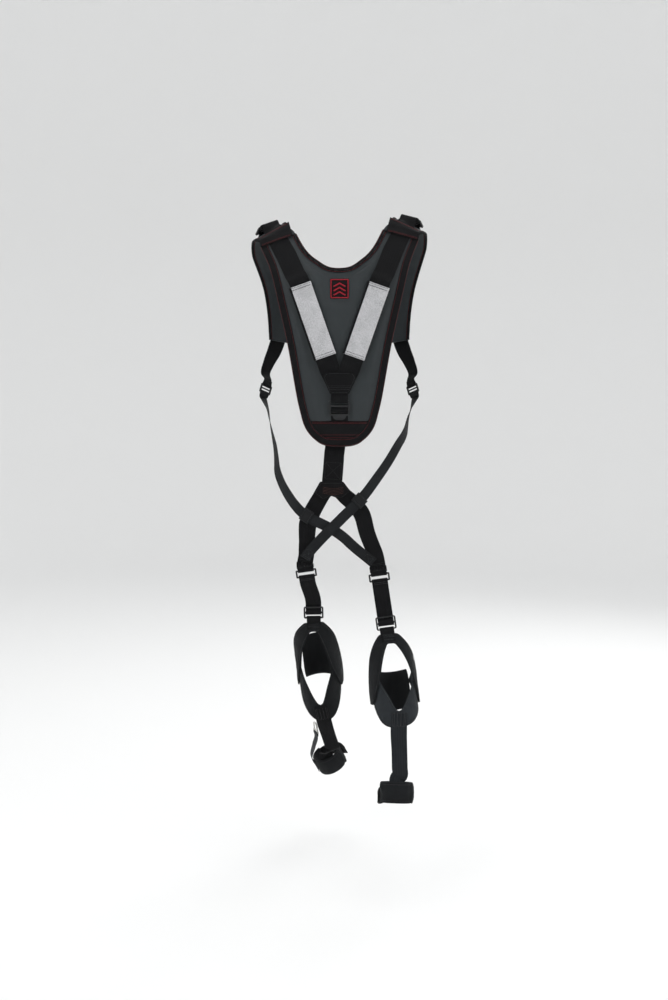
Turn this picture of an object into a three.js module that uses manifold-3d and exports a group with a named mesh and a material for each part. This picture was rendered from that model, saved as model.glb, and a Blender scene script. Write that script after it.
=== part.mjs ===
// Worn back-support harness: padded back plate with yoke, sliding sleeves on
// crossing webbing, seat hub with two leg straps, and knee and ankle wraps.
// Millimetres. +Z up, the wearer faces +Y, the wearer's right is +X.
// The origin is the middle of the line across the wearer's shoulders.
import * as THREE from 'three';
import { mergeVertices } from 'three/addons/utils/BufferGeometryUtils.js';
import Module from 'manifold-3d';

// ---------------------------------------------------------------- dimensions
const WEB = 1.6;               // webbing thickness
const BACK_WEB_W = 48;         // back webbing, spine strap
const LEG_WEB_W = 38;          // leg, elastic and calf webbing
const HIP_WEB_W = 25;          // crossing hip webbing
const COVER_T = 1.5;           // pad cover
const FOAM_T = 7.4;            // pad foam
const LINING_T = 1.5;          // pad lining
const GAP = 0.4;               // play between neighbouring layers
const BIND_W = 19;             // binding width on each face of the pad
const BIND_T = 1.4;            // binding thickness
const BIND_GAP = 1.45;          // between the binding and the pad's faces
const BAR_R = 3.8;             // webbing centre line round a 3 mm bar
const SLEEVE_W = 55;
const SLEEVE_L = 178;
const SLEEVE_WALL = 1.2;
const KNEE_R = 48;             // radius of the knee inside its wrap
const BAND_T = 4;              // knee band thickness
const CUFF_R = 33;             // ankle radius inside the cuff
const CUFF_H = 47;
const CUFF_T = 5;

// ------------------------------------------------------------------- helpers
const V = (x, y, z) => new THREE.Vector3(x, y, z);
const A = (a) => new THREE.Vector3(a[0], a[1], a[2]);
const lerp = (a, b, t) => a + (b - a) * t;
function table(tab, x) {
  if (x <= tab[0][0]) return tab[0][1];
  for (let i = 1; i < tab.length; i++) {
    if (x <= tab[i][0]) {
      const [x0, y0] = tab[i - 1];
      const [x1, y1] = tab[i];
      const t = (x - x0) / (x1 - x0);
      const p = i > 1 ? (tab[i][1] - tab[i - 2][1]) / (x1 - tab[i - 2][0]) : (y1 - y0) / (x1 - x0);
      const q = i < tab.length - 1 ? (tab[i + 1][1] - y0) / (tab[i + 1][0] - x0) : (y1 - y0) / (x1 - x0);
      const h = x1 - x0;
      const t2 = t * t, t3 = t2 * t;
      return (2 * t3 - 3 * t2 + 1) * y0 + (t3 - 2 * t2 + t) * h * p + (-2 * t3 + 3 * t2) * y1 + (t3 - t2) * h * q;
    }
  }
  return tab[tab.length - 1][1];
}
// lean of the shoulders: the wearer's right shoulder is a little higher
let LEAN = true;
function lean(v) {
  if (!LEAN) return v;
  const t = Math.min(1, Math.max(0, (v.z + 150) / 130));
  v.z += 0.045 * v.x * t * t * (3 - 2 * t);
  return v;
}
// a box grid whose two large faces are cut along the same diagonals
function sameCuts(g, group) {
  const ix = g.index.array;
  const { start, count } = g.groups[group];
  for (let i = start; i < start + count; i += 6) {
    const a = ix[i], b = ix[i + 1], d = ix[i + 2], c = ix[i + 4];
    ix[i] = a; ix[i + 1] = b; ix[i + 2] = c;
    ix[i + 3] = a; ix[i + 4] = c; ix[i + 5] = d;
  }
  return g;
}
const slab = (w, h, nu, nv) => sameCuts(new THREE.BoxGeometry(w, h, 1, nu, nv, 1), 5);
function remap(geo, fn) {
  const p = geo.attributes.position;
  for (let i = 0; i < p.count; i++) {
    const q = lean(fn(p.getX(i), p.getY(i), p.getZ(i)));
    p.setXYZ(i, q.x, q.y, q.z);
  }
  geo.computeVertexNormals();
  return geo;
}
const MATS = {
  cover: [0x2a2e30, 0.62, 0], foam: [0x3a3a3a, 0.95, 0], lining: [0x141415, 0.95, 0],
  web: [0x101011, 0.85, 0], elastic: [0x0b0b0c, 0.9, 0], reflect: [0xb9b9ba, 0.5, 0.1],
  plastic: [0x1b1d1f, 0.45, 0], neoprene: [0x151617, 0.8, 0], metal: [0xb8b8b4, 0.3, 0.9],
  patch: [0xa0101f, 0.8, 0], grey: [0x3c3e40, 0.8, 0],
};
const root = new THREE.Group();
function add(name, geo, mat) {
  const [c, r, m] = MATS[mat];
  const mesh = new THREE.Mesh(geo, new THREE.MeshStandardMaterial({ color: c, roughness: r, metalness: m }));
  mesh.name = name;
  root.add(mesh);
  return mesh;
}
// a station of a strap: centre point, width direction, width
const st = (p, w, b, c = 0) => ({ p: p.clone(), w: w.clone().normalize(), b, c });
function normals(S) {
  const n = S.length;
  return S.map((s, i) => {
    const a = S[Math.max(0, i - 1)].p, b = S[Math.min(n - 1, i + 1)].p;
    const t = b.clone().sub(a).normalize();
    const N = t.clone().cross(s.w).normalize();
    const W = N.clone().cross(t).normalize();
    return { N, W, T: t };
  });
}
// flat strap with a rectangular section through a list of stations
function ribbon(S, thick, wseg = 1) {
  const F = normals(S);
  const n = S.length - 1;
  return remap(sameCuts(new THREE.BoxGeometry(1, 1, 1, wseg, 1, n), 3), (x, y, z) => {
    const i = Math.round((z + 0.5) * n);
    const s = S[i], f = F[i];
    const X = x * s.b;
    const dn = y * thick - s.c * X * X;
    return s.p.clone().addScaledVector(f.W, X).addScaledVector(f.N, dn);
  });
}
// smooth path through control points: [[x,y,z],[wx,wy,wz],width]
function smooth(ctrl, n, c = 0) {
  const P = new THREE.CatmullRomCurve3(ctrl.map((k) => A(k[0])), false, 'centripetal');
  const out = [];
  const m = ctrl.length - 1;
  for (let i = 0; i <= n; i++) {
    const t = (i / n);
    const k = Math.min(m - 1, Math.floor(t * m)), f = t * m - k;
    const w = A(ctrl[k][1]).lerp(A(ctrl[k + 1][1]), f);
    out.push(st(P.getPoint(t), w, lerp(ctrl[k][2], ctrl[k + 1][2], f), c));
  }
  return out;
}
// stations in the (n, t) plane of a frame: N outward, T along the strap
function planar(C, W, N, T, pts, b) {
  return pts.map(([n, t]) => st(C.clone().addScaledVector(N, n).addScaledVector(T, t), W, b));
}
// loop that comes along +T on the outer side, turns round the bar at C and goes back
function loopPts(r, back, lead = 12, sep = 1.05, seg = 8) {
  const out = [[sep, -lead - 2], [lerp(sep, r, 0.55), -lead * 0.45]];
  for (let i = 0; i <= seg; i++) {
    const a = (i / seg) * Math.PI;
    out.push([Math.cos(a) * r, Math.sin(a) * r]);
  }
  out.push([-lerp(sep, r, 0.55), -lead * 0.45], [-sep, -lead - 2]);
  if (back > 0) out.push([-sep, -lead - 2 - back]);
  return out;
}
function frameMatrix(C, W, N, T) {
  return new THREE.Matrix4().makeBasis(W, N, T).setPosition(C);
}
// plate buckle: an outline with slots, in the W-T plane, centred through its thickness
function roundRect(w, h, r) {
  const s = new THREE.Shape();
  s.moveTo(-w / 2 + r, -h / 2);
  s.lineTo(w / 2 - r, -h / 2); s.quadraticCurveTo(w / 2, -h / 2, w / 2, -h / 2 + r);
  s.lineTo(w / 2, h / 2 - r); s.quadraticCurveTo(w / 2, h / 2, w / 2 - r, h / 2);
  s.lineTo(-w / 2 + r, h / 2); s.quadraticCurveTo(-w / 2, h / 2, -w / 2, h / 2 - r);
  s.lineTo(-w / 2, -h / 2 + r); s.quadraticCurveTo(-w / 2, -h / 2, -w / 2 + r, -h / 2);
  return s;
}
function slot(w, t0, t1) {
  const p = new THREE.Path();
  p.moveTo(-w / 2, t0); p.lineTo(-w / 2, t1); p.lineTo(w / 2, t1); p.lineTo(w / 2, t0); p.lineTo(-w / 2, t0);
  return p;
}
function plate(w, h, r, thick, slots) {
  const s = roundRect(w, h, r);
  for (const [sw, a, b] of slots) s.holes.push(slot(sw, a, b));
  const g = new THREE.ExtrudeGeometry(s, { depth: thick, bevelEnabled: false, curveSegments: 3 });
  g.translate(0, 0, -thick / 2);
  g.rotateX(-Math.PI / 2);            // (x, y, z) -> (x, z, -y): shape y runs along -T
  return g;
}
function place(mesh, C, W, N, T) {
  mesh.matrixAutoUpdate = true;
  const q = new THREE.Quaternion().setFromRotationMatrix(new THREE.Matrix4().makeBasis(W, N, T));
  mesh.position.copy(C);
  mesh.quaternion.copy(q);
  return mesh;
}

// --------------------------------------------------------------- back surface
const Y0 = [[-800, 30], [-740, 6], [-680, 0], [-600, 18], [-520, 30], [-500, 30], [-452, 27], [-405, 20], [-350, 10],
  [-303, 4], [-260, 2], [-220, 2], [-180, 3], [-138, 6], [-100, 12], [-66, 23], [-44, 31], [-22, 40], [0, 52], [12, 61]];
const surfY = (x, z) => table(Y0, z) + (x * x) / 1200;
// point at a height off above the cover's outer face
function onBack(x, z, off) {
  const e = 2;
  const n = V(surfY(x + e, z) - surfY(x - e, z), -2 * e, 0).normalize();
  const dz = (surfY(x, z + e) - surfY(x, z - e)) / (2 * e);
  const m = V(n.x, n.y, -dz * n.y).normalize();
  return V(x, surfY(x, z), z).addScaledVector(m, off);
}
// a direction laid on the surface at a point
function onSurf(x, z, W) {
  return onBack(x + W.x * 4, z + W.z * 4, 0).sub(onBack(x - W.x * 4, z - W.z * 4, 0)).normalize();
}
// half outline of the pad: bottom (centre to corner), side, top (corner to centre)
const BOT = [[0, -515.8], [12, -515.6], [22, -515], [30, -514], [37, -512.3], [44, -509.7], [51, -505.8], [57, -501],
  [63, -496], [68.5, -490.5], [74, -484], [79.6, -476], [85, -465], [89.5, -452]];
const SIDE = [[100.7, -405], [121, -287], [133, -230], [146.5, -171], [163.3, -100], [175.6, -66], [185.5, -44]];
const TOP = [[0, -95.6], [24, -92.5], [47.8, -78], [62, -67], [73.6, -55], [86, -37], [95, -20], [102, -6], [108, 2],
  [116, 6.5], [133, 1], [155, -8], [176, -18], [190, -31]];
function inset(d) {
  const L = [...BOT, ...SIDE, ...TOP.slice().reverse()];
  const n = L.length;
  const off = L.map((p, i) => {
    const a = i > 0 ? L[i - 1] : [-L[1][0], L[1][1]];
    const b = i < n - 1 ? L[i + 1] : [-L[n - 2][0], L[n - 2][1]];
    const e = (u, v) => { const l = Math.hypot(v[0] - u[0], v[1] - u[1]); return [-(v[1] - u[1]) / l, (v[0] - u[0]) / l]; };
    const n1 = e(a, p), n2 = e(p, b);
    const m = [n1[0] + n2[0], n1[1] + n2[1]];
    const l = Math.hypot(m[0], m[1]);
    const k = Math.min(1.35, 2 / l);
    return [i === 0 || i === n - 1 ? 0 : p[0] + (m[0] / l) * d * k, p[1] + (m[1] / l) * d * k];
  });
  const B = off.slice(0, BOT.length);
  const S = off.slice(BOT.length - 1, BOT.length + SIDE.length + 1);
  const T = off.slice(BOT.length + SIDE.length).reverse();
  return { B, S, T, edge: S.map((q) => [q[1], q[0]]) };
}
function padLayer(d, o0, o1, rows) {
  const { B, T, edge } = inset(d);
  const K = B.length - 1;
  const ex = (z) => table(edge, z);
  return remap(slab(2, 1, 2 * K, rows), (x, y, z) => {
    const k = Math.round(x * K);
    const a = Math.abs(k), sg = Math.sign(k);
    const v = y + 0.5;
    const zz = lerp(B[a][1], T[a][1], v);
    const s0 = B[a][0] / ex(B[a][1]), s1 = T[a][0] / ex(T[a][1]);
    const s = lerp(s0, s1, v * v * (3 - 2 * v));
    const xx = v === 0 ? B[a][0] : v === 1 ? T[a][0] : s * ex(zz);
    // local z = +0.5 is the face towards the wearer (+Y)
    return onBack(-sg * xx, zz, z > 0 ? o0 : o1);
  });
}
const o1 = -COVER_T, o2 = o1 - GAP, o3 = o2 - FOAM_T, o4 = o3 - GAP, o5 = o4 - LINING_T;
add('back_pad_cover', padLayer(3.0, o1, 0, 13), 'cover');
add('back_pad_foam', padLayer(3.0, o3, o2, 13), 'foam');
add('back_pad_lining', padLayer(3.0, o5, o4, 13), 'lining');

// U-shaped binding along a part of the outline
function binding(path) {
  const n = path.length;
  const F = path.map((p, i) => {
    const a = path[Math.max(0, i - 1)], b = path[Math.min(n - 1, i + 1)];
    const l = Math.hypot(b[0] - a[0], b[1] - a[1]);
    return [-(b[1] - a[1]) / l, (b[0] - a[0]) / l];
  });
  const lo = BIND_GAP, hi = BIND_GAP + BIND_T, li = o5 - BIND_GAP, l2 = li - BIND_T;
  const s = new THREE.Shape();
  s.moveTo(0.2, l2); s.lineTo(BIND_W, l2); s.lineTo(BIND_W, li); s.lineTo(1.6, li);
  s.lineTo(1.6, lo); s.lineTo(BIND_W, lo); s.lineTo(BIND_W, hi); s.lineTo(0.2, hi); s.lineTo(0.2, l2);
  const g = new THREE.ExtrudeGeometry(s, { depth: 1, steps: n - 1, bevelEnabled: false });
  return remap(g, (x, y, z) => {
    const i = Math.round(z * (n - 1));
    return onBack(path[i][0] + F[i][0] * x, path[i][1] + F[i][1] * x, y);
  });
}
{
  const edge = inset(0).edge;
  const side = [];
  for (let i = 1; i <= 15; i++) { const z = lerp(-452, -33, i / 15); side.push([table(edge, z), z]); }
  const half = [...BOT.filter((_, i) => i % 2 === 0 || i > 9), ...side];
  const left = half.map(([x, z]) => [-x, z]);
  // runs from the wearer's left top, down, round the bottom and up the right
  const full = [...left.slice().reverse(), ...half.slice(1)];
  add('pad_side_binding', binding(full), 'lining');
  const t = [[0, -95.6], [12, -95], [24, -92.5], [36, -86.5], [47.8, -78], [62, -67], [73.6, -55], [86, -37], [95, -20], [101, -8]];
  const neck = [...t.slice().reverse(), ...t.slice(1).map(([x, z]) => [-x, z])];
  add('pad_neck_binding', binding(neck), 'lining');
}
// lower band inside the binding
{
  const { B } = inset(BIND_W + 0.6);
  const zt = -454;
  const xs = inset(BIND_W + 0.6).edge;
  const K = B.length - 1;
  add('pad_lower_band', remap(slab(2, 1, 2 * K, 3), (x, y, z) => {
    const k = Math.round(x * K), a = Math.abs(k), sg = Math.sign(k);
    const v = y + 0.5;
    const zz = lerp(B[a][1], zt, v);
    const X = lerp(B[a][0], (a / K) * table(xs, zt), v);
    const lim = a === K ? table(xs, Math.max(zz, B[K][1])) : X;
    return onBack(-sg * (a === K ? Math.min(X, lim) : X), zz, z > 0 ? 0.8 : 2.0);
  }), 'web');
}
// spine strap, sewn to the body side of the pad
{
  const S = [];
  for (const z of [-462, -480, -500, -516]) S.push(st(onBack(-10.5, z, o5 - BIND_GAP - BIND_T - 1.2 - WEB / 2), V(1, 0, 0), BACK_WEB_W));
  for (const [x, y, z] of [[-12, 43, -530], [-13.5, 33, -550], [-15.5, 22, -575], [-17, 14.5, -592], [-17.8, 11.2, -602]]) S.push(st(V(x, y, z), V(1, 0, -0.03), BACK_WEB_W));
  add('spine_strap', ribbon(S, WEB), 'web');
}
// emblem patch
add('emblem_patch', remap(new THREE.BoxGeometry(44, 46, 1, 4, 3, 1), (x, y, z) => onBack(-x, y - 145.5, z > 0 ? GAP : GAP + 1.2)), 'patch');

// ------------------------------------------- back webbing, sleeves, junction
const back = {};
for (const [side, sg, dz] of [['left', -1, 0], ['right', 1, 4]]) {
  const Pa = V(sg * 91.4, 0, -138), Pb = V(sg * 33.5, 0, -302.8);
  Pa.y = surfY(Pa.x, Pa.z); Pb.y = surfY(Pb.x, Pb.z);
  const lift = V(0, -9.2, 0);
  const a = Pa.clone().add(lift), b = Pb.clone().add(lift);
  const T = b.clone().sub(a).normalize();
  const N = V(0, -1, 0).addScaledVector(T, T.y).normalize();
  const W = N.clone().cross(T).normalize();
  const L = (s) => a.clone().addScaledVector(T, s);
  back[side] = { a, b, T, N, W };
  const len = a.distanceTo(b);
  const S = [];
  // from the shoulder, down the horn, up onto the straight stretch of the sleeve
  for (const [x, z, o] of [[149, -8, 1.4], [147, -15, 1.4], [144.5, -23, 1.4], [140.5, -31, 1.4], [136, -40, 1.5], [131, -50, 1.6], [126, -60, 1.8], [119, -76, 2.4], [112, -92, 3.6], [104, -110, 5.6]]) {
    S.push(st(onBack(sg * x, z, o), onSurf(sg * x, z, W), lerp(44, BACK_WEB_W, Math.min(1, -z / 60))));
  }
  for (const s of [-14, 0, len / 2, len, len + 12]) S.push(st(L(s), W, BACK_WEB_W));
  // the two run together above the adjuster, the right one outside the left
  const o = sg > 0 ? 7.0 : 4.6;
  S.push(st(onBack(sg * 23.5, -331, o + 0.8), onSurf(sg * 23, -331, W), BACK_WEB_W), st(onBack(sg * 18, -347, o), onSurf(sg * 18, -347, W), 44), st(onBack(sg * 13, -362, o), onSurf(sg * 13, -362, W), 40));
  back[side].S = S;
  // sleeve: a flat tube that slides on the webbing
  const hw = BACK_WEB_W / 2 + 1.3, hh = WEB / 2 + 0.7;
  const sh = new THREE.Shape();
  const ow = SLEEVE_W / 2, oh = hh + SLEEVE_WALL;
  sh.moveTo(-ow, -oh + 0.6); sh.lineTo(-ow + 0.8, -oh); sh.lineTo(ow - 0.8, -oh); sh.lineTo(ow, -oh + 0.6);
  sh.lineTo(ow, oh - 0.6); sh.lineTo(ow - 0.8, oh); sh.lineTo(-ow + 0.8, oh); sh.lineTo(-ow, oh - 0.6); sh.lineTo(-ow, -oh + 0.6);
  const ho = new THREE.Path();
  ho.moveTo(-hw, -hh); ho.lineTo(-hw, hh); ho.lineTo(hw, hh); ho.lineTo(hw, -hh); ho.lineTo(-hw, -hh);
  sh.holes.push(ho);
  const g = new THREE.ExtrudeGeometry(sh, { depth: SLEEVE_L, steps: 1, bevelEnabled: false });
  g.translate(0, 0, -SLEEVE_L / 2);
  place(add('reflective_sleeve_' + side, g, 'reflect'), L(len / 2), W, N, T);
}
// sewn patch over the meeting of the two straps, and the single strap below it
{
  const rows = [[-337, 30, 9.0], [-350, 38, 8.8], [-364, 33, 8.8], [-377, 27, 9.2], [-388, 22.5, 9.8]];
  const n = rows.length - 1;
  add('junction_patch', remap(new THREE.BoxGeometry(2, 1, 1, 2, n, 1), (x, y, z) => {
    const r = rows[Math.round((0.5 - y) * n)];
    return onBack(-x * r[1], r[0], z > 0 ? r[2] : r[2] + 1.2);
  }), 'web');
  const T = V(0, 0.13, -1).normalize(), W = V(1, 0, 0);
  const N = T.clone().cross(W).normalize();
  const c = onBack(0, -428, 6.2);
  const bar = (t) => c.clone().addScaledVector(T, t);
  // single strap: from under the two, up onto the top bar and round it
  const S = [];
  for (const [z, o] of [[-340, 1.3], [-354, 1.3], [-367, 2.0], [-379, 4.6]]) S.push(st(onBack(0, z, o), W, 40));
  S.push(...planar(bar(-22), W, N, T, loopPts(BAR_R, 0, 11), 40));
  add('junction_webbing', ribbon(S, WEB), 'web');
  back.adj = { c, W, N, T };
  // adjusting strap: comes up from the lower band, through, over the middle bar and back under
  const K = [[-4.8, 25.6], [-4.8, 15], [-4.6, 9.8], [-2, 6], [1.3, 4.3], [3.2, 2.4], [3.6, 0], [3.2, -2.4], [1.4, -4.2], [-1.6, -6.4], [-3.4, -8.6], [-3.7, -13]];
  add('adjuster_tab', ribbon(planar(c, W, N, T, K.reverse(), 40), WEB), 'web');
}


// ladder-lock buckle for 40 mm webbing; the fixed strap loops the bar at t = -22,
// the adjusting strap comes in under the tongue at t = +22
function ladderLock(name, c, W, N, T, half = 25) {
  const sh = new THREE.Shape();
  const k = half - 25;
  const out = [[-25 - k, 20], [-25 - k, -9], [-22 - k, -12], [-17, -12.4], [-13, -20], [-8, -22.6], [8, -22.6], [13, -20], [17, -12.4],
    [22 + k, -12], [25 + k, -9], [25 + k, 20], [23 + k, 24], [-23 - k, 24]];
  out.forEach(([x, y], i) => (i ? sh.lineTo(x, y) : sh.moveTo(x, y)));
  for (const [t0, t1] of [[-20, -12.4], [-8.2, -2], [2, 8.2]]) sh.holes.push(slot(41.6 + 2 * k, -t1, -t0));
  const g = new THREE.ExtrudeGeometry(sh, { depth: 3.4, bevelEnabled: false });
  g.translate(0, 0, -1.7);
  g.rotateX(-Math.PI / 2);
  g.applyMatrix4(frameMatrix(c, W, N, T));
  add(name, remap(g, (x, y, z) => V(x, y, z)), 'plastic');
}
const WEAVE = [[-3.7, -13], [-3.4, -8.6], [-1.6, -6.4], [1.4, -4.2], [3.2, -2.4], [3.6, 0], [3.2, 2.4], [1.3, 4.3], [-2, 6], [-4.6, 9.8], [-4.9, 15]];

ladderLock('back_adjuster', back.adj.c, back.adj.W, back.adj.N, back.adj.T);

// -------------------------------------------------------- shoulders and front
const PAD_T = 9;
for (const [side, sg] of [['left', -1], ['right', 1]]) {
  // middle surface of the padded strap, listed from the back over the shoulder to the chest
  const raw = [
    [[151.5, 79.5, -3.6], [0.898, 0.133, -0.419], 68], [[156.5, 88.5, 1], [0.89, 0.12, -0.435], 75], [[162, 98.5, 3], [0.885, 0.1, -0.45], 81],
    [[167, 111, 1.5], [0.885, 0.1, -0.45], 84], [[172, 127, -5], [0.89, 0.06, -0.44], 84], [[174, 144, -17.5], [0.9, 0.02, -0.42], 82],
    [[174, 162, -38], [0.92, -0.04, -0.38], 80], [[169, 179, -62], [0.94, -0.12, -0.3], 76], [[162, 195, -92], [0.94, -0.22, -0.2], 72],
    [[155, 208, -128], [0.93, -0.3, -0.1], 68], [[150, 217, -168], [0.92, -0.36, -0.02], 66], [[147, 222, -208], [0.9, -0.42, 0], 66],
    [[147, 223, -240], [0.88, -0.46, 0], 64], [[149, 221, -262], [0.87, -0.48, 0], 58]];
  const ctrl = raw.map(([p, w, b]) => [[sg * p[0], p[1], p[2]], [w[0], sg * w[1], sg * w[2]], b]).reverse();
  const S = smooth(ctrl, 26, 0.0016);
  const F = normals(S);
  add('shoulder_strap_' + side, ribbon(S, PAD_T, 4), 'cover');
  const n = S.length - 1;
  const at = (i, off, b, c = 0) => st(S[i].p.clone().addScaledVector(F[i].N, off), F[i].W, b, c);
  // band across the seam of back pad and shoulder strap
  const bandTop = PAD_T / 2 + 6.4;
  const B = [];
  B.push(at(n, bandTop, 80, 0.0004));
  for (const [x, z] of [[151.5, -8.5], [149.5, -17], [147, -27]]) B.push(st(onBack(sg * x, z, z > -10 ? 5.4 : 4.7), onSurf(sg * x, z, V(0.9, 0, sg * -0.43)), 78 - (z + 8) * 0.15, 0.0004));
  LEAN = true;
  add('shoulder_band_' + side, ribbon(B, 1.4, 4), 'lining');
  // buckle on top of the shoulder
  const k = n - 7;
  const c = S[k].p.clone().addScaledVector(F[k].N, PAD_T / 2 + 9.8);
  const W = F[k].W.clone(), N = F[k].N.clone(), T = F[k].T.clone();
  const Wn = W.clone().negate(), Tn = T.clone().negate();
  ladderLock('shoulder_buckle_' + side, c, Wn, N, Tn, 27);
  // the back webbing comes out from under the band and loops the rear bar
  {
    const bar = c.clone().addScaledVector(T, 22);
    const Q = [];
    const lp = [];
    lp.push([-1.05, 10]); lp.push([-2.6, 4.4]);
    for (let i = 0; i <= 8; i++) { const a = Math.PI * (1 - i / 8); lp.push([Math.cos(a) * BAR_R, -Math.sin(a) * BAR_R]); }
    lp.push([2.6, 4.4]); lp.push([1.05, 10]);
    Q.push(...planar(bar, W, N, T, lp, 42));
    Q.push(at(n - 2, PAD_T / 2 + 4.6, 43), at(n, PAD_T / 2 + 3.2, 43));
    back[side].top = Q;
  }
  // the front strap: from its adjuster up the chest, under the tongue and through the buckle
  {
    const adj = V(sg * 182, 182, -380);
    const fw = V(0.72, sg * -0.69, sg * 0.1).normalize();
    const T2 = V(sg * -0.28, 0.2, 1).normalize();      // up the chest
    const N2 = T2.clone().cross(fw).normalize();
    const W2 = N2.clone().cross(T2).normalize();
    back[side].front = { c: adj, W: W2, N: N2, T: T2 };
    const Q = [];
    // starts with the loop on the adjuster's upper bar
    const lp = [[-1.05, 13], [-2.6, 5.4]];
    for (let i = 0; i <= 8; i++) { const a = Math.PI * (1 - i / 8); lp.push([Math.cos(a) * BAR_R, -Math.sin(a) * BAR_R]); }
    lp.push([2.6, 5.4], [1.05, 13]);
    Q.push(...planar(adj.clone().addScaledVector(T2, 9.5), W2, N2, T2, lp, 25));
    Q.push(st(V(sg * 183, 197, -343), V(0.75, sg * -0.66, 0), 27), st(V(sg * 175, 210, -314), V(0.8, sg * -0.58, 0), 32));
    Q.push(st(V(sg * 162, 221, -285), V(0.86, sg * -0.5, 0), 38));
    const up = PAD_T / 2 + 4.1;
    for (let i = 1; i <= k - 4; i++) { Q.push(at(i, up, 40)); }
    Q.push(...planar(c, W, N, T, WEAVE.slice().reverse().map(([a, b]) => [a, -b]), 40));
    add('side_strap_' + side, ribbon(Q, WEB), 'web');
  }
  // front adjuster: two slots, one strap loop in each
  {
    const { c: a, W: w, N: nn, T: t } = back[side].front;
    place(add('front_adjuster_' + side, plate(35, 22.6, 3, 3.2, [[27.4, -8, -1.6], [27.4, 1.6, 8]]), 'plastic'), a, w.clone().negate(), nn, t.clone().negate());
  }
  LEAN = true;
}
for (const side of ['left', 'right']) {
  add('back_webbing_' + side, ribbon([...back[side].top, ...back[side].S], WEB), 'web');
}
LEAN = false;


// ---------------------------------------------------------------- chest strap
// solid geometry with a boolean cut
async function lib() {
  const m = await Module();
  m.setup();
  return m;
}
const wasm = await lib();
function solid(g) {
  const q = g.index ? g.toNonIndexed() : g.clone();
  const w = new THREE.BufferGeometry().setAttribute('position', q.getAttribute('position').clone());
  const m = mergeVertices(w, 1e-3);
  return new wasm.Manifold(new wasm.Mesh({ numProp: 3, vertProperties: m.attributes.position.array, triVerts: new Uint32Array(m.index.array) }));
}
function back2geo(s) {
  const m = s.getMesh();
  const v = new Float32Array(m.numVert * 3);
  for (let i = 0; i < m.numVert; i++) for (let k = 0; k < 3; k++) v[i * 3 + k] = m.vertProperties[i * m.numProp + k];
  const g = new THREE.BufferGeometry().setAttribute('position', new THREE.BufferAttribute(v, 3));
  g.setIndex(new THREE.BufferAttribute(new Uint32Array(m.triVerts), 1));
  g.computeVertexNormals();
  return g;
}
const boxAt = (w, d, h, x, y, z) => new THREE.BoxGeometry(w, d, h).translate(x, y, z);
{
  // buckle frame at the middle of the chest: local x to the wearer's right, y backwards, z up
  const BC = V(0, 241, -150);
  // socket on the left half, mouth to +X
  let sock = solid(boxAt(34, 11, 30, -17, 0, 0));
  sock = sock.subtract(solid(boxAt(25, 6.4, 23, -8, 0, 0)));
  sock = sock.subtract(solid(boxAt(9, 6.4, 40, -17, 0, 0)));
  sock = sock.add(solid(boxAt(14, 4, 30, -40, 0, 0)));
  sock = sock.subtract(solid(boxAt(8, 8, 24, -40.5, 0, 0)));
  const sm = add('chest_socket', back2geo(sock), 'plastic');
  sm.position.copy(BC);
  // plug body on the right half, with a guide blade between two spring prongs
  let plug = solid(boxAt(10, 11, 30, 5.6, 0, 0));
  plug = plug.add(solid(boxAt(15, 3, 5, -5.5, 0, 0)));
  plug = plug.add(solid(boxAt(14, 4, 30, 16, 0, 0)));
  plug = plug.subtract(solid(boxAt(8, 8, 24, 17.4, 0, 0)));
  const pm = add('chest_plug', back2geo(plug), 'plastic');
  pm.position.copy(BC);
  for (const [nm, s] of [['upper', 1], ['lower', -1]]) {
    // prong: a flat arm with a hooked shoulder that catches in the side window
    const sh = new THREE.Shape();
    const q = [[0.3, 4], [0.3, 7.6], [-12.6, 9.6], [-13, 12.6], [-20.4, 12.6], [-20.4, 7], [-12, 5.4]];
    if (s > 0) q.reverse();
    q.map(([x, z]) => [x, s * z]).reverse().forEach(([x, z], i) => (i ? sh.lineTo(x, z) : sh.moveTo(x, z)));
    const g = new THREE.ExtrudeGeometry(sh, { depth: 4, bevelEnabled: false });
    g.translate(0, 0, -2);
    g.rotateX(Math.PI / 2);
    const mm = add('plug_prong_' + nm, g, 'plastic');
    mm.position.copy(BC);
  }
  for (const [side, sg] of [['left', -1], ['right', 1]]) {
    const Q = [];
    const bx = sg < 0 ? -45.7 : 22.2;
    const bar = BC.clone().add(V(bx, 0, 0));
    // from the loop on the buckle's bar out to the padded strap
    const lp = [[-1.05, 13], [-2.6, 5.4]];
    for (let i = 0; i <= 8; i++) { const a = Math.PI * (1 - i / 8); lp.push([Math.cos(a) * 3.2, -Math.sin(a) * 3.2]); }
    lp.push([2.6, 5.4], [1.05, 13]);
    const W = V(0, 0, sg), N = V(0, 1, 0), T = V(sg, 0, 0);
    Q.push(...planar(bar, W, N, T, lp, 22));
    Q.push(st(V(sg * 80, 239, -148), W, 22), st(V(sg * 100, 234.5, -146), W, 22), st(V(sg * 116, 228.5, -145), W, 22));
    add('chest_strap_' + side, ribbon(Q, WEB), 'web');
  }
}

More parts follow.
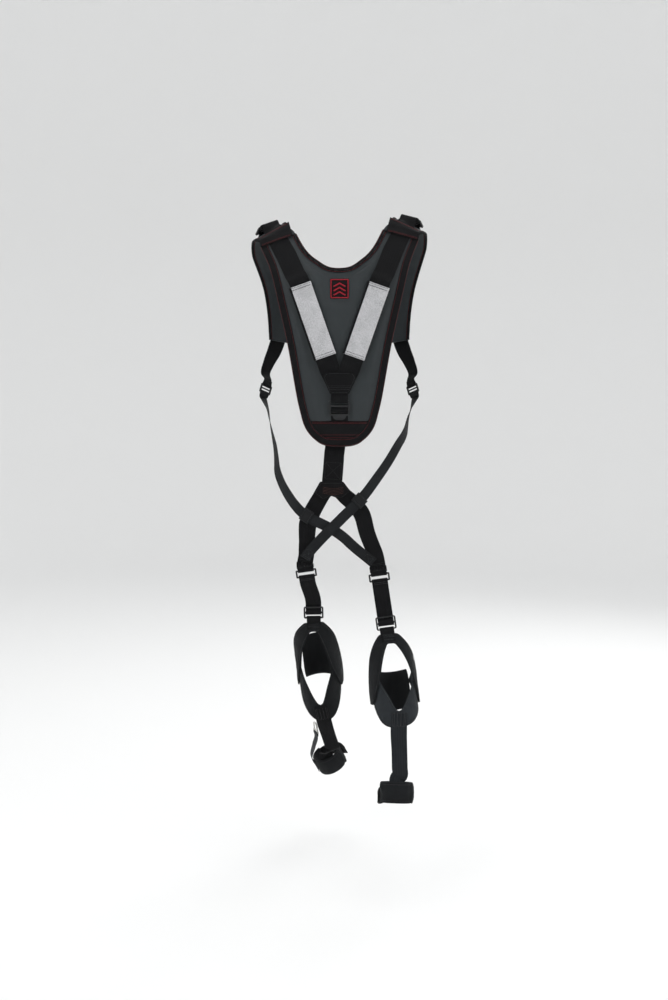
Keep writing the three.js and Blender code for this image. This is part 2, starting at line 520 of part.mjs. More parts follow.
// ----------------------------------------------------------- seat and hips
const UPX = V(1, 0, 0);
function edged(L, R, Yo = 0) {
  // stations from left and right edge points
  return L.map((l, i) => {
    const a = A(l), b = A(R[i]);
    a.y += Yo; b.y += Yo;
    return st(a.clone().add(b).multiplyScalar(0.5), b.clone().sub(a), a.distanceTo(b));
  });
}
const RING = {
  left: { c: V(-79.2, 30, -818.1), el: V(-62.4, 66, -919.1), tilt: 8, atilt: 1 },
  right: { c: V(95.2, 20, -826.3), el: V(110.7, 0, -933), tilt: 8, atilt: 8 },
};
function legAxes(tiltDeg, T) {
  const a = (tiltDeg * Math.PI) / 180;
  const W = V(Math.cos(a), 0, Math.sin(a));
  const t = T.clone().addScaledVector(W, -T.dot(W)).normalize();
  return { W, T: t, N: t.clone().cross(W).normalize() };
}
const HUB_Y = 8;
{
  // hub panel over the strap ends
  const px = [[-46, -596.3], [-61.3, -623.4], [-38.9, -641.2], [-18.8, -630.2], [4.8, -638.8], [27.2, -619.8], [9.1, -596.3]];
  const sh = new THREE.Shape();
  px.forEach(([x, z], i) => (i ? sh.lineTo(x, z) : sh.moveTo(x, z)));
  const g = new THREE.ExtrudeGeometry(sh, { depth: 1.4, bevelEnabled: false });
  add('seat_hub', remap(g, (x, y, z) => V(x, 2.2 + (y + 596) * -0.02 - z, y)), 'web');
}
const legs = {};
{
  const Lo = [[-43.6, 12, -600.2], [-64.9, 6, -630.5], [-83.7, 2, -662.2], [-92.7, 0, -684.5], [-95.8, 5, -735], [-97.6, 22, -785]];
  const Li = [[-12.9, 12, -619.1], [-29.4, 6, -644.7], [-47.6, 2, -680], [-56.1, 0, -705.9], [-58.9, 5, -742.2], [-60.6, 22, -780]];
  const Ro = [[-20, 8.6, -621.5], [-1.1, 4.6, -642.5], [20.2, 2.4, -662.3], [36.7, 2, -684.7], [48.6, 3, -727.6], [73, 13, -786]];
  const Ri = [[9.6, 8.6, -604.9], [29.6, 4.6, -621.2], [50.4, 2.4, -638.2], [68.3, 2, -660.7], [83.1, 3, -711], [109, 13, -780]];
  for (const [side, a, b] of [['left', Lo, Li], ['right', Ro, Ri]]) {
    const r = RING[side];
    const up = A(a[5]).add(A(b[5])).multiplyScalar(0.5);
    const ax = legAxes(r.tilt, r.c.clone().sub(up));
    const bar = r.c.clone().addScaledVector(ax.T, -8);
    legs[side] = ax;
    const S = edged(a, b);
    // smooth the bends of the strap between its measured stations
    const ctrl = S.map((q) => [[q.p.x, q.p.y, q.p.z], [q.w.x, q.w.y, q.w.z], q.b]);
    const sm = smooth(ctrl.slice(0, 6), 20);
    add('leg_strap_' + side, ribbon([...sm.slice(0, -1), ...planar(bar, ax.W, ax.N, ax.T, loopPts(BAR_R, 0, 11), LEG_WEB_W)], WEB), 'web');
    place(add('thigh_ring_' + side, plate(50, 19.4, 3, 3.2, [[42, -6.5, 6.5]]), 'plastic'), r.c, ax.W, ax.N, ax.T);
  }
}

// hip straps: control points with outward normals
function smoothN(ctrl, n) {
  const P = new THREE.CatmullRomCurve3(ctrl.map((k) => A(k[0])), false, 'centripetal');
  const out = [];
  const m = ctrl.length - 1;
  for (let i = 0; i <= n; i++) {
    const t = i / n;
    const k = Math.min(m - 1, Math.floor(t * m)), f = t * m - k;
    const N = A(ctrl[k][1]).lerp(A(ctrl[k + 1][1]), f);
    const T = P.getTangent(t);
    out.push(st(P.getPoint(t), N.cross(T), HIP_WEB_W));
  }
  return out;
}
const loopStart = (r, lead = 11, back = 0) => {
  const lp = back > 0 ? [[-1.05, lead + 2 + back]] : [];
  lp.push([-1.05, lead + 2], [-lerp(1.05, r, 0.55), lead * 0.45]);
  for (let i = 0; i <= 8; i++) { const a = Math.PI * (1 - i / 8); lp.push([Math.cos(a) * r, -Math.sin(a) * r]); }
  lp.push([lerp(1.05, r, 0.55), lead * 0.45], [1.05, lead + 2]);
  return lp;
};
{
  const HIP = {
    left: [[[-177, 171, -428], [-0.93, 0.2, 0]], [[-168, 161, -475], [-0.95, -0.1, 0]], [[-158, 146, -520], [-0.93, -0.3, 0.1]],
      [[-154, 124, -548], [-0.87, -0.45, 0.1]], [[-150.5, 100, -577], [-0.75, -0.65, 0.1]], [[-141, 76, -601], [-0.6, -0.8, 0]],
      [[-130, 50, -620], [-0.5, -0.86, 0]], [[-117, 27, -638], [-0.4, -0.9, 0]], [[-103, 6, -654.5], [-0.35, -0.93, 0]],
      [[-86, -6.6, -670.4], [-0.25, -0.96, 0]], [[-65, -10.8, -683.7], [-0.1, -0.99, 0]], [[-41.2, -8.5, -695.7], [0, -1, 0]],
      [[-17.6, -5, -708.5], [0, -1, 0]], [[8.3, -4.5, -726.6], [0, -1, -0.1]], [[34.3, -4.5, -750.3], [0, -1, -0.15]],
      [[60.5, 0, -772.5], [0, -0.97, -0.22]], [[80, 5, -789], [0, -0.96, -0.25]]],
    right: [[[178.5, 173, -426], [0.93, 0.2, 0]], [[170, 158, -452], [0.95, -0.1, 0]], [[160, 120, -486], [0.88, -0.42, 0.1]],
      [[140, 82, -516], [0.68, -0.72, 0.1]], [[117.3, 56, -552], [0.52, -0.85, 0]], [[87.7, 24, -591.4], [0.42, -0.9, 0]],
      [[58.1, -2.2, -628.5], [0.3, -0.95, 0]], [[34.2, -9.6, -653.5], [0.15, -0.98, 0]], [[8.3, -11, -678.9], [0, -1, 0]],
      [[-15.3, -11, -702.5], [0, -1, 0]], [[-41.2, -9, -728.7], [0, -1, -0.05]], [[-64.9, -4, -755.4], [0, -0.98, -0.18]],
      [[-82, 4, -779], [0, -0.96, -0.25]]],
  };
  const KEEP = { left: [[-75, -6.3, -677.6]], right: [[46.2, -2, -641]] };
  for (const [side, sg] of [['left', -1], ['right', 1]]) {
    const { c: a, W: w, N: nn, T: t } = back[side].front;
    const bar = a.clone().addScaledVector(t, -9.5);
    const Q = planar(bar, w.clone().negate(), nn, t.clone().negate(), loopStart(BAR_R, 9), HIP_WEB_W);
    const ctrl = HIP[side];
    const path = smoothN(ctrl, ctrl.length * 2);
    const q1 = Q[Q.length - 1], p0 = path[0];
    for (const f of [0.25, 0.5, 0.75]) Q.push(st(q1.p.clone().lerp(p0.p, f), q1.w.clone().lerp(p0.w, f), HIP_WEB_W));
    add('hip_strap_' + side, ribbon([...Q, ...path], WEB), 'web');
    // keeper: a short flat tube round the hip strap, sewn on the leg strap
    const F = normals(path);
    let bi = 0, bd = 1e9;
    path.forEach((q, i) => { const d = q.p.distanceTo(A(KEEP[side][0])); if (d < bd) { bd = d; bi = i; } });
    const ow = 15.6, oh = 3.7, hw = 14.2, hh = 2.5;
    const sh = new THREE.Shape();
    sh.moveTo(-ow, -oh); sh.lineTo(ow, -oh); sh.lineTo(ow, oh); sh.lineTo(-ow, oh); sh.lineTo(-ow, -oh);
    const ho = new THREE.Path();
    ho.moveTo(-hw, -hh); ho.lineTo(-hw, hh); ho.lineTo(hw, hh); ho.lineTo(hw, -hh); ho.lineTo(-hw, -hh);
    sh.holes.push(ho);
    const g = new THREE.ExtrudeGeometry(sh, { depth: 24, steps: 1, bevelEnabled: false });
    g.translate(0, 0, -12);
    place(add('strap_keeper_' + side, g, 'elastic'), path[bi].p, F[bi].W, F[bi].N, F[bi].T);
  }
}

// ----------------------------------------------------------------------- legs
const LEG = {
  left: { end: V(-36.8, 160, -1213.5), shift: -0.21, mid: V(-25.6, 184, -1258.4), calf: V(-12.9, 205, -1303),
    cuff: V(-19.3, 222, -1344.4), er: V(0.891, 0, 0.454), a: V(0.43, 0.3, -0.85) },
  right: { end: V(135.7, -120, -1152.7), shift: 0.23, mid: V(136.7, -153, -1210.5), calf: V(136.7, -180, -1263.1),
    cuff: V(129.5, -192, -1287.3), er: V(1, 0, 0.03), a: V(-0.03, -0.25, -0.97) },
};
// back-of-knee bands on the flat: arc from the middle, distance down, outer edge then inner edge
const UPPER = [[[0, 14], [0, 37]], [[12, 14], [5, 38]], [[21, 15], [9, 42]], [[30, 24], [13, 52]], [[42, 39], [18, 66]], [[56, 60], [24, 84]],
  [[68, 86], [30, 104]], [[78, 114], [36, 128]], [[86, 140], [43, 154]], [[93, 164], [52, 178]], [[98, 184], [60, 200]], [[103, 198], [70, 212]]];
const LOWER = [[[0, 294], [0, 247]], [[10, 293.5], [6, 243]], [[21, 291], [11, 234]], [[34, 283], [17, 220]], [[48, 268], [24, 202]], [[61, 248], [31, 186]],
  [[73, 224], [38, 170]], [[83, 198], [45, 152]], [[92, 172], [54, 132]], [[100, 148], [64, 112]], [[108, 128], [76, 96]]];
const joints = {};
for (const [side, sg] of [['left', -1], ['right', 1]]) {
  const r = RING[side], L = LEG[side], ax = legs[side];
  // elastic: loop on the ring's lower bar, weave through the knee adjuster
  const rb = r.c.clone().addScaledVector(ax.T, 8);
  const e = legAxes(r.tilt, r.el.clone().sub(rb));
  const q = legAxes(r.atilt, r.el.clone().sub(rb));
  const weave = [[-3.7, -27], [-3.7, -17], [-3.6, -12.4], [-2.4, -8], [1.2, -4.7], [3.2, -2.5], [3.6, 0], [3.2, 2.5], [1.2, 4.6], [-1.8, 5.8]];
  add('thigh_elastic_' + side, ribbon([...planar(rb, e.W, e.N, e.T, loopStart(BAR_R), LEG_WEB_W), ...planar(r.el, q.W, q.N, q.T, weave, LEG_WEB_W)], WEB), 'elastic');
  place(add('knee_adjuster_' + side, plate(48, 32, 5, 3.4, [[40, -12.6, -2], [40, 2, 12.8]]), 'plastic'), r.el, q.W, q.N, q.T);
  const kb = r.el.clone().addScaledVector(q.T, 14.3);
  joints[side] = { ringTop: r.c.clone().addScaledVector(ax.T, -8), ringLow: rb, ringW: ax.W, kneeBar: kb, kneeW: q.W };
  // knee cylinder
  const a = L.end.clone().sub(kb);
  const k = a.length() / 294;
  a.normalize();
  const eb = V(0, -1, 0).addScaledVector(a, a.y).normalize();
  const er = eb.clone().cross(a).normalize();
  const C0 = kb.clone().addScaledVector(eb, -55.6);
  const H = (h) => Math.sin(Math.PI * Math.min(1, Math.max(0, h / 300)));
  const pos = (phi, h, rad) => C0.clone().addScaledVector(a, h * k).addScaledVector(eb, Math.cos(phi) * rad).addScaledVector(er, Math.sin(phi) * rad);
  const onKnee = (s, h, rad) => pos(s / 52 + L.shift * H(h), h, rad);
  const bandGeo = (tab, r0, upper) => {
    const K = tab.length - 1;
    return remap(slab(2, 1, 2 * K, 3), (x, y, z) => {
      const i = Math.round(x * K), j = Math.abs(i), g2 = i < 0 ? -1 : 1;
      const v = upper ? y + 0.5 : 0.5 - y;
      const [o, n] = tab[j];
      return onKnee(g2 * lerp(n[0], o[0], v), lerp(n[1], o[1], v), z > 0 ? r0 + BAND_T : r0);
    });
  };
  const qa = legAxes(r.atilt, a);
  const tab = ribbon(planar(kb, qa.W, qa.N, qa.T, [[-1.05, 32], ...loopStart(BAR_R), [1.05, 32]], 34), WEB);
  add('knee_upper_band_' + side, back2geo(solid(bandGeo(UPPER, 54.1, true)).add(solid(tab))), 'neoprene');
  add('knee_lower_band_' + side, bandGeo(LOWER, 48.6, false), 'neoprene');
  add('knee_pad_' + side, remap(slab(2, 1, 10, 5), (x, y, z) => pos(Math.PI + x * 1.32 + L.shift, 152 - y * 118, z > 0 ? 47.4 : 41)), 'neoprene');
  // calf strap
  const cc = L.cuff, ca = L.a.clone().normalize();
  const cer = L.er.clone().addScaledVector(ca, -L.er.dot(ca)).normalize();
  const ceb = ca.clone().cross(cer).normalize();
  const CC = cc.clone().addScaledVector(ceb, -(CUFF_R + CUFF_T));
  const cpos = (deg, h, rad) => { const f = (deg * Math.PI) / 180; return CC.clone().addScaledVector(ca, h).addScaledVector(ceb, Math.cos(f) * rad).addScaledVector(cer, Math.sin(f) * rad); };
  const S = [];
  for (const h of [252, 262, 273, 284, 296]) S.push(st(onKnee(0, h, 55.4), er, LEG_WEB_W, 0.0085));
  S.push(st(L.mid, er.clone().lerp(cer, 0.15), 36, 0.004), st(L.mid.clone().lerp(L.calf, 0.5), er.clone().lerp(cer, 0.4), 36, 0.004), st(L.mid.clone().lerp(L.calf, 0.8), er.clone().lerp(cer, 0.7), 35, 0.008));
    for (const h of [-CUFF_H / 2 - 8, -CUFF_H / 2 + 6, 0, CUFF_H / 2 - 6]) S.push(st(cpos(0, h, CUFF_R - (h < -CUFF_H / 2 ? 4.4 : 2.8)), cer, 34, 0.017));
  add('calf_strap_' + side, ribbon(S, WEB, 6), 'web');
  // ankle cuff: an open band closed in front by a hook-and-loop flap
  const R = CUFF_R + CUFF_T / 2;
  const cuff = [];
  for (let i = 0; i <= 24; i++) cuff.push(st(cpos(-155 + (310 * i) / 24, 0, R), ca.clone().negate(), CUFF_H));
  add('ankle_cuff_' + side, ribbon(cuff, CUFF_T), 'neoprene');
  const fl = [];
  const fw = [34, 34, 34, 34, 34, 34, 34, 34, 34, 33, 31, 27, 20, 11];
  for (let i = 0; i < fw.length; i++) {
    const f = i / (fw.length - 1);
    const deg = lerp(128, 283, f);
    fl.push(st(cpos(-sg * -deg * 1, 0 + f * f * (side === 'left' ? -4 : 16), CUFF_R + CUFF_T + 2 + (f > 0.7 ? (f - 0.7) * (side === 'left' ? 34 : 8) : 0)), ca.clone().negate().multiplyScalar(sg), fw[i]));
  }
  add('cuff_flap_' + side, ribbon(fl, 2.4), 'neoprene');
  joints[side].flap = cpos(sg * 128, 0, CUFF_R + CUFF_T + 2);
  joints[side].cuffA = ca;
  if (side === 'left') {
    // shin elastic on the outer side of the ankle, with a metal snap hook at its top
    const T = V(-0.08, -0.42, 0.9).normalize();
    const N = V(-0.8, -0.6, 0).addScaledVector(T, -V(-0.8, -0.6, 0).dot(T)).normalize();
    const W = N.clone().cross(T).normalize();
    const hb = V(-58.8, 205, -1251);
    const Q = [];
    const b0 = cpos(-84, 14, CUFF_R + CUFF_T + 1.1), b1 = cpos(-84, -8, CUFF_R + CUFF_T + 1.1), b2 = cpos(-82, -CUFF_H / 2 - 3, CUFF_R + CUFF_T + 1.6);
    for (const b of [b0, b1, b2]) Q.push(st(b, V(-0.2, 0.9, 0.25), 20));
    Q.push(st(b2.clone().lerp(hb, 0.5), V(-0.4, 0.85, 0.3), 19));
    Q.push(...planar(hb, W, N, T, loopPts(2.7, 0, 9, 0.85, 8), 15));
    add('shin_strap_left', ribbon(Q, 1.2), 'grey');
    const sh = new THREE.Shape();
    const o = [[-10, -12], [10, -12], [10, -4], [-2.5, -1], [-4.8, 2]];
    for (let i = 0; i <= 8; i++) { const f = Math.PI * (1 - i / 8); o.push([Math.cos(f) * 4.8, 13 + Math.sin(f) * 4.8]); }
    o.push([4.8, 10], [8.5, 10]);
    for (let i = 0; i <= 10; i++) { const f = (Math.PI * i) / 10; o.push([Math.cos(f) * 8.5, 13 + Math.sin(f) * 8.5]); }
    o.push([-8.5, -1], [-10, -4]);
    o.forEach(([x, y], i) => (i ? sh.lineTo(x, y) : sh.moveTo(x, y)));
    sh.holes.push(slot(16.4, -10, -5.4));
    const g = new THREE.ExtrudeGeometry(sh, { depth: 2.6, bevelEnabled: false });
    g.translate(0, 11, -1.3);
    g.rotateX(Math.PI / 2);                      // (x, y, z) -> (x, -z, y)
    place(add('snap_hook', g, 'metal'), hb, W, N, T);
    const gs = new THREE.Shape();
    [[4.6, -1.5], [7.6, -2.1], [8.3, 9.5], [5.1, 9.5]].forEach(([x, y], i) => (i ? gs.lineTo(x, y) : gs.moveTo(x, y)));
    const gg = new THREE.ExtrudeGeometry(gs, { depth: 2, bevelEnabled: false });
    gg.translate(0, 11, -1);
    gg.rotateX(Math.PI / 2);
    place(add('hook_gate', gg, 'metal'), hb, W, N, T);
    joints.hook = { c: hb, W, N, T, gate: hb.clone().addScaledVector(W, 6).addScaledVector(T, 9.6) };
  }
}
export default root;
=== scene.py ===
"""Looks of the worn back-support harness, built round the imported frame."""
import math

import bmesh
import bpy
import numpy as np
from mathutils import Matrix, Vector, noise


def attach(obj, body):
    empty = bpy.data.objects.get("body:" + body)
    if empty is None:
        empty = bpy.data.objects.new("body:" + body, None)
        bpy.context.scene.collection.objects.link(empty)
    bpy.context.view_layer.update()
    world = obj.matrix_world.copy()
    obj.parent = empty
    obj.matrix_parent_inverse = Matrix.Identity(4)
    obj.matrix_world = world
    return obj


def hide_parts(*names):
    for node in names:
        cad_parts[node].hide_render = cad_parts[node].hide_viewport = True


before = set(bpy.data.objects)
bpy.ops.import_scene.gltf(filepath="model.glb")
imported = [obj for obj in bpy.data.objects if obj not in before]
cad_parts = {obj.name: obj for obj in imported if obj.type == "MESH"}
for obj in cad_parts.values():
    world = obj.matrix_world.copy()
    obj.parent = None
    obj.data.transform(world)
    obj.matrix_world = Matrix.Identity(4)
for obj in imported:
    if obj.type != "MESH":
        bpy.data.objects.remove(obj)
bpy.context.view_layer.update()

MM = 0.001
scene = bpy.context.scene

# ------------------------------------------------------------------ camera
cam_data = bpy.data.cameras.new("camera")
cam = bpy.data.objects.new("camera", cam_data)
scene.collection.objects.link(cam)
cam.location = (-0.0129, -3.2, -0.3572)
cam.rotation_euler = (math.radians(90 - 5.04), 0, 0)
cam_data.sensor_width = 36
cam_data.lens = 49.03
cam_data.clip_start, cam_data.clip_end = 0.05, 60
scene.camera = cam
scene.view_settings.view_transform = "Standard"
scene.view_settings.look = "None"

# strap stations: thickness, then [x, y, z, wx, wy, wz, width, curve] in mm
ST = {
    "spine_strap": (1.6, [
        [-10.2, 44.0, -460.7, 1, 0, 0, 48, 0], [-10.2, 45.2, -479.2, 1, 0, 0, 48, 0], [-10.2, 46.1, -499.3, 1, 0, 0, 48, 0],
        [-10.2, 46.5, -516.8, 1, 0, 0, 48, 0], [-12, 43, -530, 1, 0, -0.03, 48, 0], [-13.5, 33, -550, 1, 0, -0.03, 48, 0],
        [-15.5, 22, -575, 1, 0, -0.03, 48, 0], [-17, 14.5, -592, 1, 0, -0.03, 48, 0], [-17.8, 11.2, -602, 1, 0, -0.03, 48, 0],
    ]),
    "junction_webbing": (1.6, [
        [0, 7.2, -340.2, 1, 0, 0, 40, 0], [0, 9.4, -354.2, 1, 0, 0, 40, 0], [0, 11.0, -367.4, 1, 0, 0, 40, 0],
        [0, 10.7, -379.9, 1, 0, 0, 40, 0], [0, 12.1, -394.4, 1, 0, 0, 40, 0], [0, 11.6, -402.6, 1, 0, 0, 40, 0],
        [0, 11.1, -407.6, 1, 0, 0, 40, 0], [0, 11.5, -409.0, 1, 0, 0, 40, 0], [0, 12.5, -410.1, 1, 0, 0, 40, 0],
        [0, 13.8, -410.8, 1, 0, 0, 40, 0], [0, 15.3, -410.9, 1, 0, 0, 40, 0], [0, 16.7, -410.4, 1, 0, 0, 40, 0],
        [0, 17.8, -409.5, 1, 0, 0, 40, 0], [0, 18.5, -408.1, 1, 0, 0, 40, 0], [0, 18.6, -406.6, 1, 0, 0, 40, 0],
        [0, 16.7, -401.9, 1, 0, 0, 40, 0], [0, 14.2, -394.1, 1, 0, 0, 40, 0],
    ]),
    "adjuster_tab": (1.6, [
        [0, 19.6, -415.6, 1, 0, 0, 40, 0], [0, 19.9, -420.0, 1, 0, 0, 40, 0], [0, 18.4, -422.4, 1, 0, 0, 40, 0],
        [0, 15.7, -425.0, 1, 0, 0, 40, 0], [0, 14.2, -427.0, 1, 0, 0, 40, 0], [0, 14.1, -429.4, 1, 0, 0, 40, 0],
        [0, 14.8, -431.8, 1, 0, 0, 40, 0], [0, 16.9, -433.4, 1, 0, 0, 40, 0], [0, 20.4, -434.6, 1, 0, 0, 40, 0],
        [0, 23.5, -438.1, 1, 0, 0, 40, 0], [0, 24.4, -443.2, 1, 0, 0, 40, 0], [0, 25.7, -453.7, 1, 0, 0, 40, 0],
    ]),
    "shoulder_strap_left": (9, [
        [-149, 221, -262, 0.876, 0.483, 0, 58, 0.0016], [-147.9, 222.2, -251.3, 0.881, 0.473, 0, 61, 0.0016], [-147, 223, -240, 0.886, 0.463, 0, 64, 0.0016],
        [-146.7, 222.9, -224.6, 0.896, 0.443, 0, 65, 0.0016], [-147, 222, -208, 0.906, 0.423, 0, 66, 0.0016], [-148.2, 220, -188.2, 0.919, 0.394, 0.01, 66, 0.0016],
        [-150, 217, -168, 0.931, 0.364, 0.02, 66, 0.0016], [-152.2, 213.0, -147.8, 0.94, 0.335, 0.061, 67, 0.0016], [-155, 208, -128, 0.947, 0.305, 0.102, 68, 0.0016],
        [-158.3, 202.0, -109.5, 0.952, 0.265, 0.153, 70, 0.0016], [-162, 195, -92, 0.953, 0.223, 0.203, 72, 0.0016], [-165.6, 187.4, -76.5, 0.952, 0.172, 0.253, 74, 0.0016],
        [-169, 179, -62, 0.946, 0.121, 0.302, 76, 0.0016], [-171.9, 170.8, -49.6, 0.936, 0.081, 0.342, 78, 0.0016], [-174, 162, -38, 0.924, 0.04, 0.381, 80, 0.0016],
        [-174.4, 153.2, -27.2, 0.915, 0.01, 0.402, 81, 0.0016], [-174, 144, -17.5, 0.906, -0.02, 0.423, 82, 0.0016], [-173.3, 135.6, -10.6, 0.901, -0.04, 0.433, 83, 0.0016],
        [-172, 127, -5, 0.895, -0.06, 0.442, 84, 0.0016], [-169.7, 118.9, -1.1, 0.891, -0.08, 0.447, 84, 0.0016], [-167, 111, 1.5, 0.887, -0.1, 0.451, 84, 0.0016],
        [-164.6, 104.6, 2.7, 0.887, -0.1, 0.451, 82.5, 0.0016], [-162, 98.5, 3, 0.887, -0.1, 0.451, 81, 0.0016], [-159.3, 93.3, 2.4, 0.889, -0.11, 0.443, 78, 0.0016],
        [-156.5, 88.5, 1, 0.892, -0.12, 0.436, 75, 0.0016], [-154.0, 84.0, -1.1, 0.895, -0.127, 0.428, 71.5, 0.0016], [-151.5, 79.5, -3.6, 0.898, -0.133, 0.419, 68, 0.0016],
    ]),
    "shoulder_band_left": (1.4, [
        [-155.9, 72.9, 3.8, 0.801, 0.121, 0.586, 80, 0.0004], [-152.7, 61.5, -5.9, 0.902, 0.014, 0.431, 78.1, 0.0004], [-150.5, 57.0, -14.9, 0.902, -0.006, 0.431, 79.3, 0.0004],
        [-148.0, 51.5, -25.2, 0.902, -0.034, 0.431, 80.8, 0.0004],
    ]),
    "side_strap_left": (1.6, [
        [-175.3, 185.5, -358.8, 0.676, 0.663, -0.322, 25, 0], [-176.3, 182.9, -366.0, 0.676, 0.663, -0.322, 25, 0], [-176.9, 181.0, -371.2, 0.676, 0.663, -0.322, 25, 0],
        [-177.5, 181.0, -372.6, 0.676, 0.663, -0.322, 25, 0], [-178.3, 181.3, -373.7, 0.676, 0.663, -0.322, 25, 0], [-179.4, 182.1, -374.4, 0.676, 0.663, -0.322, 25, 0],
        [-180.5, 183.1, -374.6, 0.676, 0.663, -0.322, 25, 0], [-181.4, 184.2, -374.3, 0.676, 0.663, -0.322, 25, 0], [-182.0, 185.2, -373.4, 0.676, 0.663, -0.322, 25, 0],
        [-182.3, 186.1, -372.2, 0.676, 0.663, -0.322, 25, 0], [-182.1, 186.6, -370.8, 0.676, 0.663, -0.322, 25, 0], [-179.8, 186.7, -365.8, 0.676, 0.663, -0.322, 25, 0],
        [-176.8, 187.0, -358.7, 0.676, 0.663, -0.322, 25, 0], [-183, 197, -343, 0.751, 0.661, 0, 27, 0], [-175, 210, -314, 0.81, 0.587, 0, 32, 0],
        [-162, 221, -285, 0.865, 0.503, 0, 38, 0], [-151.9, 229.7, -251.6, 0.877, 0.466, -0.122, 40, 0], [-151.0, 230.6, -240.0, 0.885, 0.462, -0.053, 40, 0],
        [-150.5, 230.6, -224.3, 0.897, 0.443, 0.014, 40, 0], [-150.6, 229.8, -207.5, 0.906, 0.418, 0.071, 40, 0], [-151.6, 227.9, -187.5, 0.916, 0.383, 0.117, 40, 0],
        [-153.1, 224.9, -166.9, 0.926, 0.345, 0.152, 40, 0], [-155.2, 221.0, -146.4, 0.932, 0.31, 0.186, 40, 0], [-157.8, 215.9, -126.2, 0.935, 0.272, 0.228, 40, 0],
        [-160.9, 209.9, -107.2, 0.937, 0.227, 0.264, 40, 0], [-164.4, 202.7, -89.1, 0.939, 0.187, 0.288, 40, 0], [-167.9, 194.9, -73.0, 0.943, 0.148, 0.299, 40, 0],
        [-171.2, 186.3, -58.0, 0.946, 0.123, 0.299, 40, 0], [-174.2, 177.7, -45.1, 0.951, 0.122, 0.285, 40, 0], [-176.3, 168.6, -33.1, 0.959, 0.161, 0.235, 40, 0],
        [-176.9, 159.4, -21.7, 0.958, 0.215, 0.189, 40, 0], [-177.9, 134.4, 1.7, 0.864, 0.396, 0.311, 40, 0], [-176.5, 129.8, 3.9, 0.864, 0.396, 0.311, 40, 0],
        [-176.6, 127.0, 7.5, 0.864, 0.396, 0.311, 40, 0], [-177.5, 126.3, 11.0, 0.864, 0.396, 0.311, 40, 0], [-177.8, 125, 13.4, 0.864, 0.396, 0.311, 40, 0],
        [-177.3, 123.0, 14.6, 0.864, 0.396, 0.311, 40, 0], [-176.4, 120.7, 15.1, 0.864, 0.396, 0.311, 40, 0], [-175.2, 118.7, 14.2, 0.864, 0.396, 0.311, 40, 0],
        [-173.3, 116.1, 12.3, 0.864, 0.396, 0.311, 40, 0], [-171.9, 113.7, 11.6, 0.864, 0.396, 0.311, 40, 0], [-170.6, 109.7, 12.9, 0.864, 0.396, 0.311, 40, 0],
    ]),
    "shoulder_strap_right": (9, [
        [149, 221, -262, 0.876, -0.483, 0, 58, 0.0016], [147.9, 222.2, -251.3, 0.881, -0.473, 0, 61, 0.0016], [147, 223, -240, 0.886, -0.463, 0, 64, 0.0016],
        [146.7, 222.9, -224.6, 0.896, -0.443, 0, 65, 0.0016], [147, 222, -208, 0.906, -0.423, 0, 66, 0.0016], [148.2, 220, -188.2, 0.919, -0.394, -0.01, 66, 0.0016],
        [150, 217, -168, 0.931, -0.364, -0.02, 66, 0.0016], [152.2, 213.0, -147.8, 0.94, -0.335, -0.061, 67, 0.0016], [155, 208, -128, 0.947, -0.305, -0.102, 68, 0.0016],
        [158.3, 202.0, -109.5, 0.952, -0.265, -0.153, 70, 0.0016], [162, 195, -92, 0.953, -0.223, -0.203, 72, 0.0016], [165.6, 187.4, -76.5, 0.952, -0.172, -0.253, 74, 0.0016],
        [169, 179, -62, 0.946, -0.121, -0.302, 76, 0.0016], [171.9, 170.8, -49.6, 0.936, -0.081, -0.342, 78, 0.0016], [174, 162, -38, 0.924, -0.04, -0.381, 80, 0.0016],
        [174.4, 153.2, -27.2, 0.915, -0.01, -0.402, 81, 0.0016], [174, 144, -17.5, 0.906, 0.02, -0.423, 82, 0.0016], [173.3, 135.6, -10.6, 0.901, 0.04, -0.433, 83, 0.0016],
        [172, 127, -5, 0.895, 0.06, -0.442, 84, 0.0016], [169.7, 118.9, -1.1, 0.891, 0.08, -0.447, 84, 0.0016], [167, 111, 1.5, 0.887, 0.1, -0.451, 84, 0.0016],
        [164.6, 104.6, 2.7, 0.887, 0.1, -0.451, 82.5, 0.0016], [162, 98.5, 3, 0.887, 0.1, -0.451, 81, 0.0016], [159.3, 93.3, 2.4, 0.889, 0.11, -0.443, 78, 0.0016],
        [156.5, 88.5, 1, 0.892, 0.12, -0.436, 75, 0.0016], [154.0, 84.0, -1.1, 0.895, 0.127, -0.428, 71.5, 0.0016], [151.5, 79.5, -3.6, 0.898, 0.133, -0.419, 68, 0.0016],
    ]),
    "shoulder_band_right": (1.4, [
        [155.9, 72.9, 3.8, 0.801, -0.121, -0.586, 80, 0.0004], [152.7, 61.5, -5.9, 0.902, -0.014, -0.431, 78.1, 0.0004], [150.5, 57.0, -14.9, 0.902, 0.006, -0.431, 79.3, 0.0004],
        [148.0, 51.5, -25.2, 0.902, 0.034, -0.431, 80.8, 0.0004],
    ]),
    "side_strap_right": (1.6, [
        [175.3, 185.5, -358.8, 0.676, -0.663, 0.322, 25, 0], [176.3, 182.9, -366.0, 0.676, -0.663, 0.322, 25, 0], [176.9, 181.0, -371.2, 0.676, -0.663, 0.322, 25, 0],
        [177.5, 181.0, -372.6, 0.676, -0.663, 0.322, 25, 0], [178.3, 181.3, -373.7, 0.676, -0.663, 0.322, 25, 0], [179.4, 182.1, -374.4, 0.676, -0.663, 0.322, 25, 0],
        [180.5, 183.1, -374.6, 0.676, -0.663, 0.322, 25, 0], [181.4, 184.2, -374.3, 0.676, -0.663, 0.322, 25, 0], [182.0, 185.2, -373.4, 0.676, -0.663, 0.322, 25, 0],
        [182.3, 186.1, -372.2, 0.676, -0.663, 0.322, 25, 0], [182.1, 186.6, -370.8, 0.676, -0.663, 0.322, 25, 0], [179.8, 186.7, -365.8, 0.676, -0.663, 0.322, 25, 0],
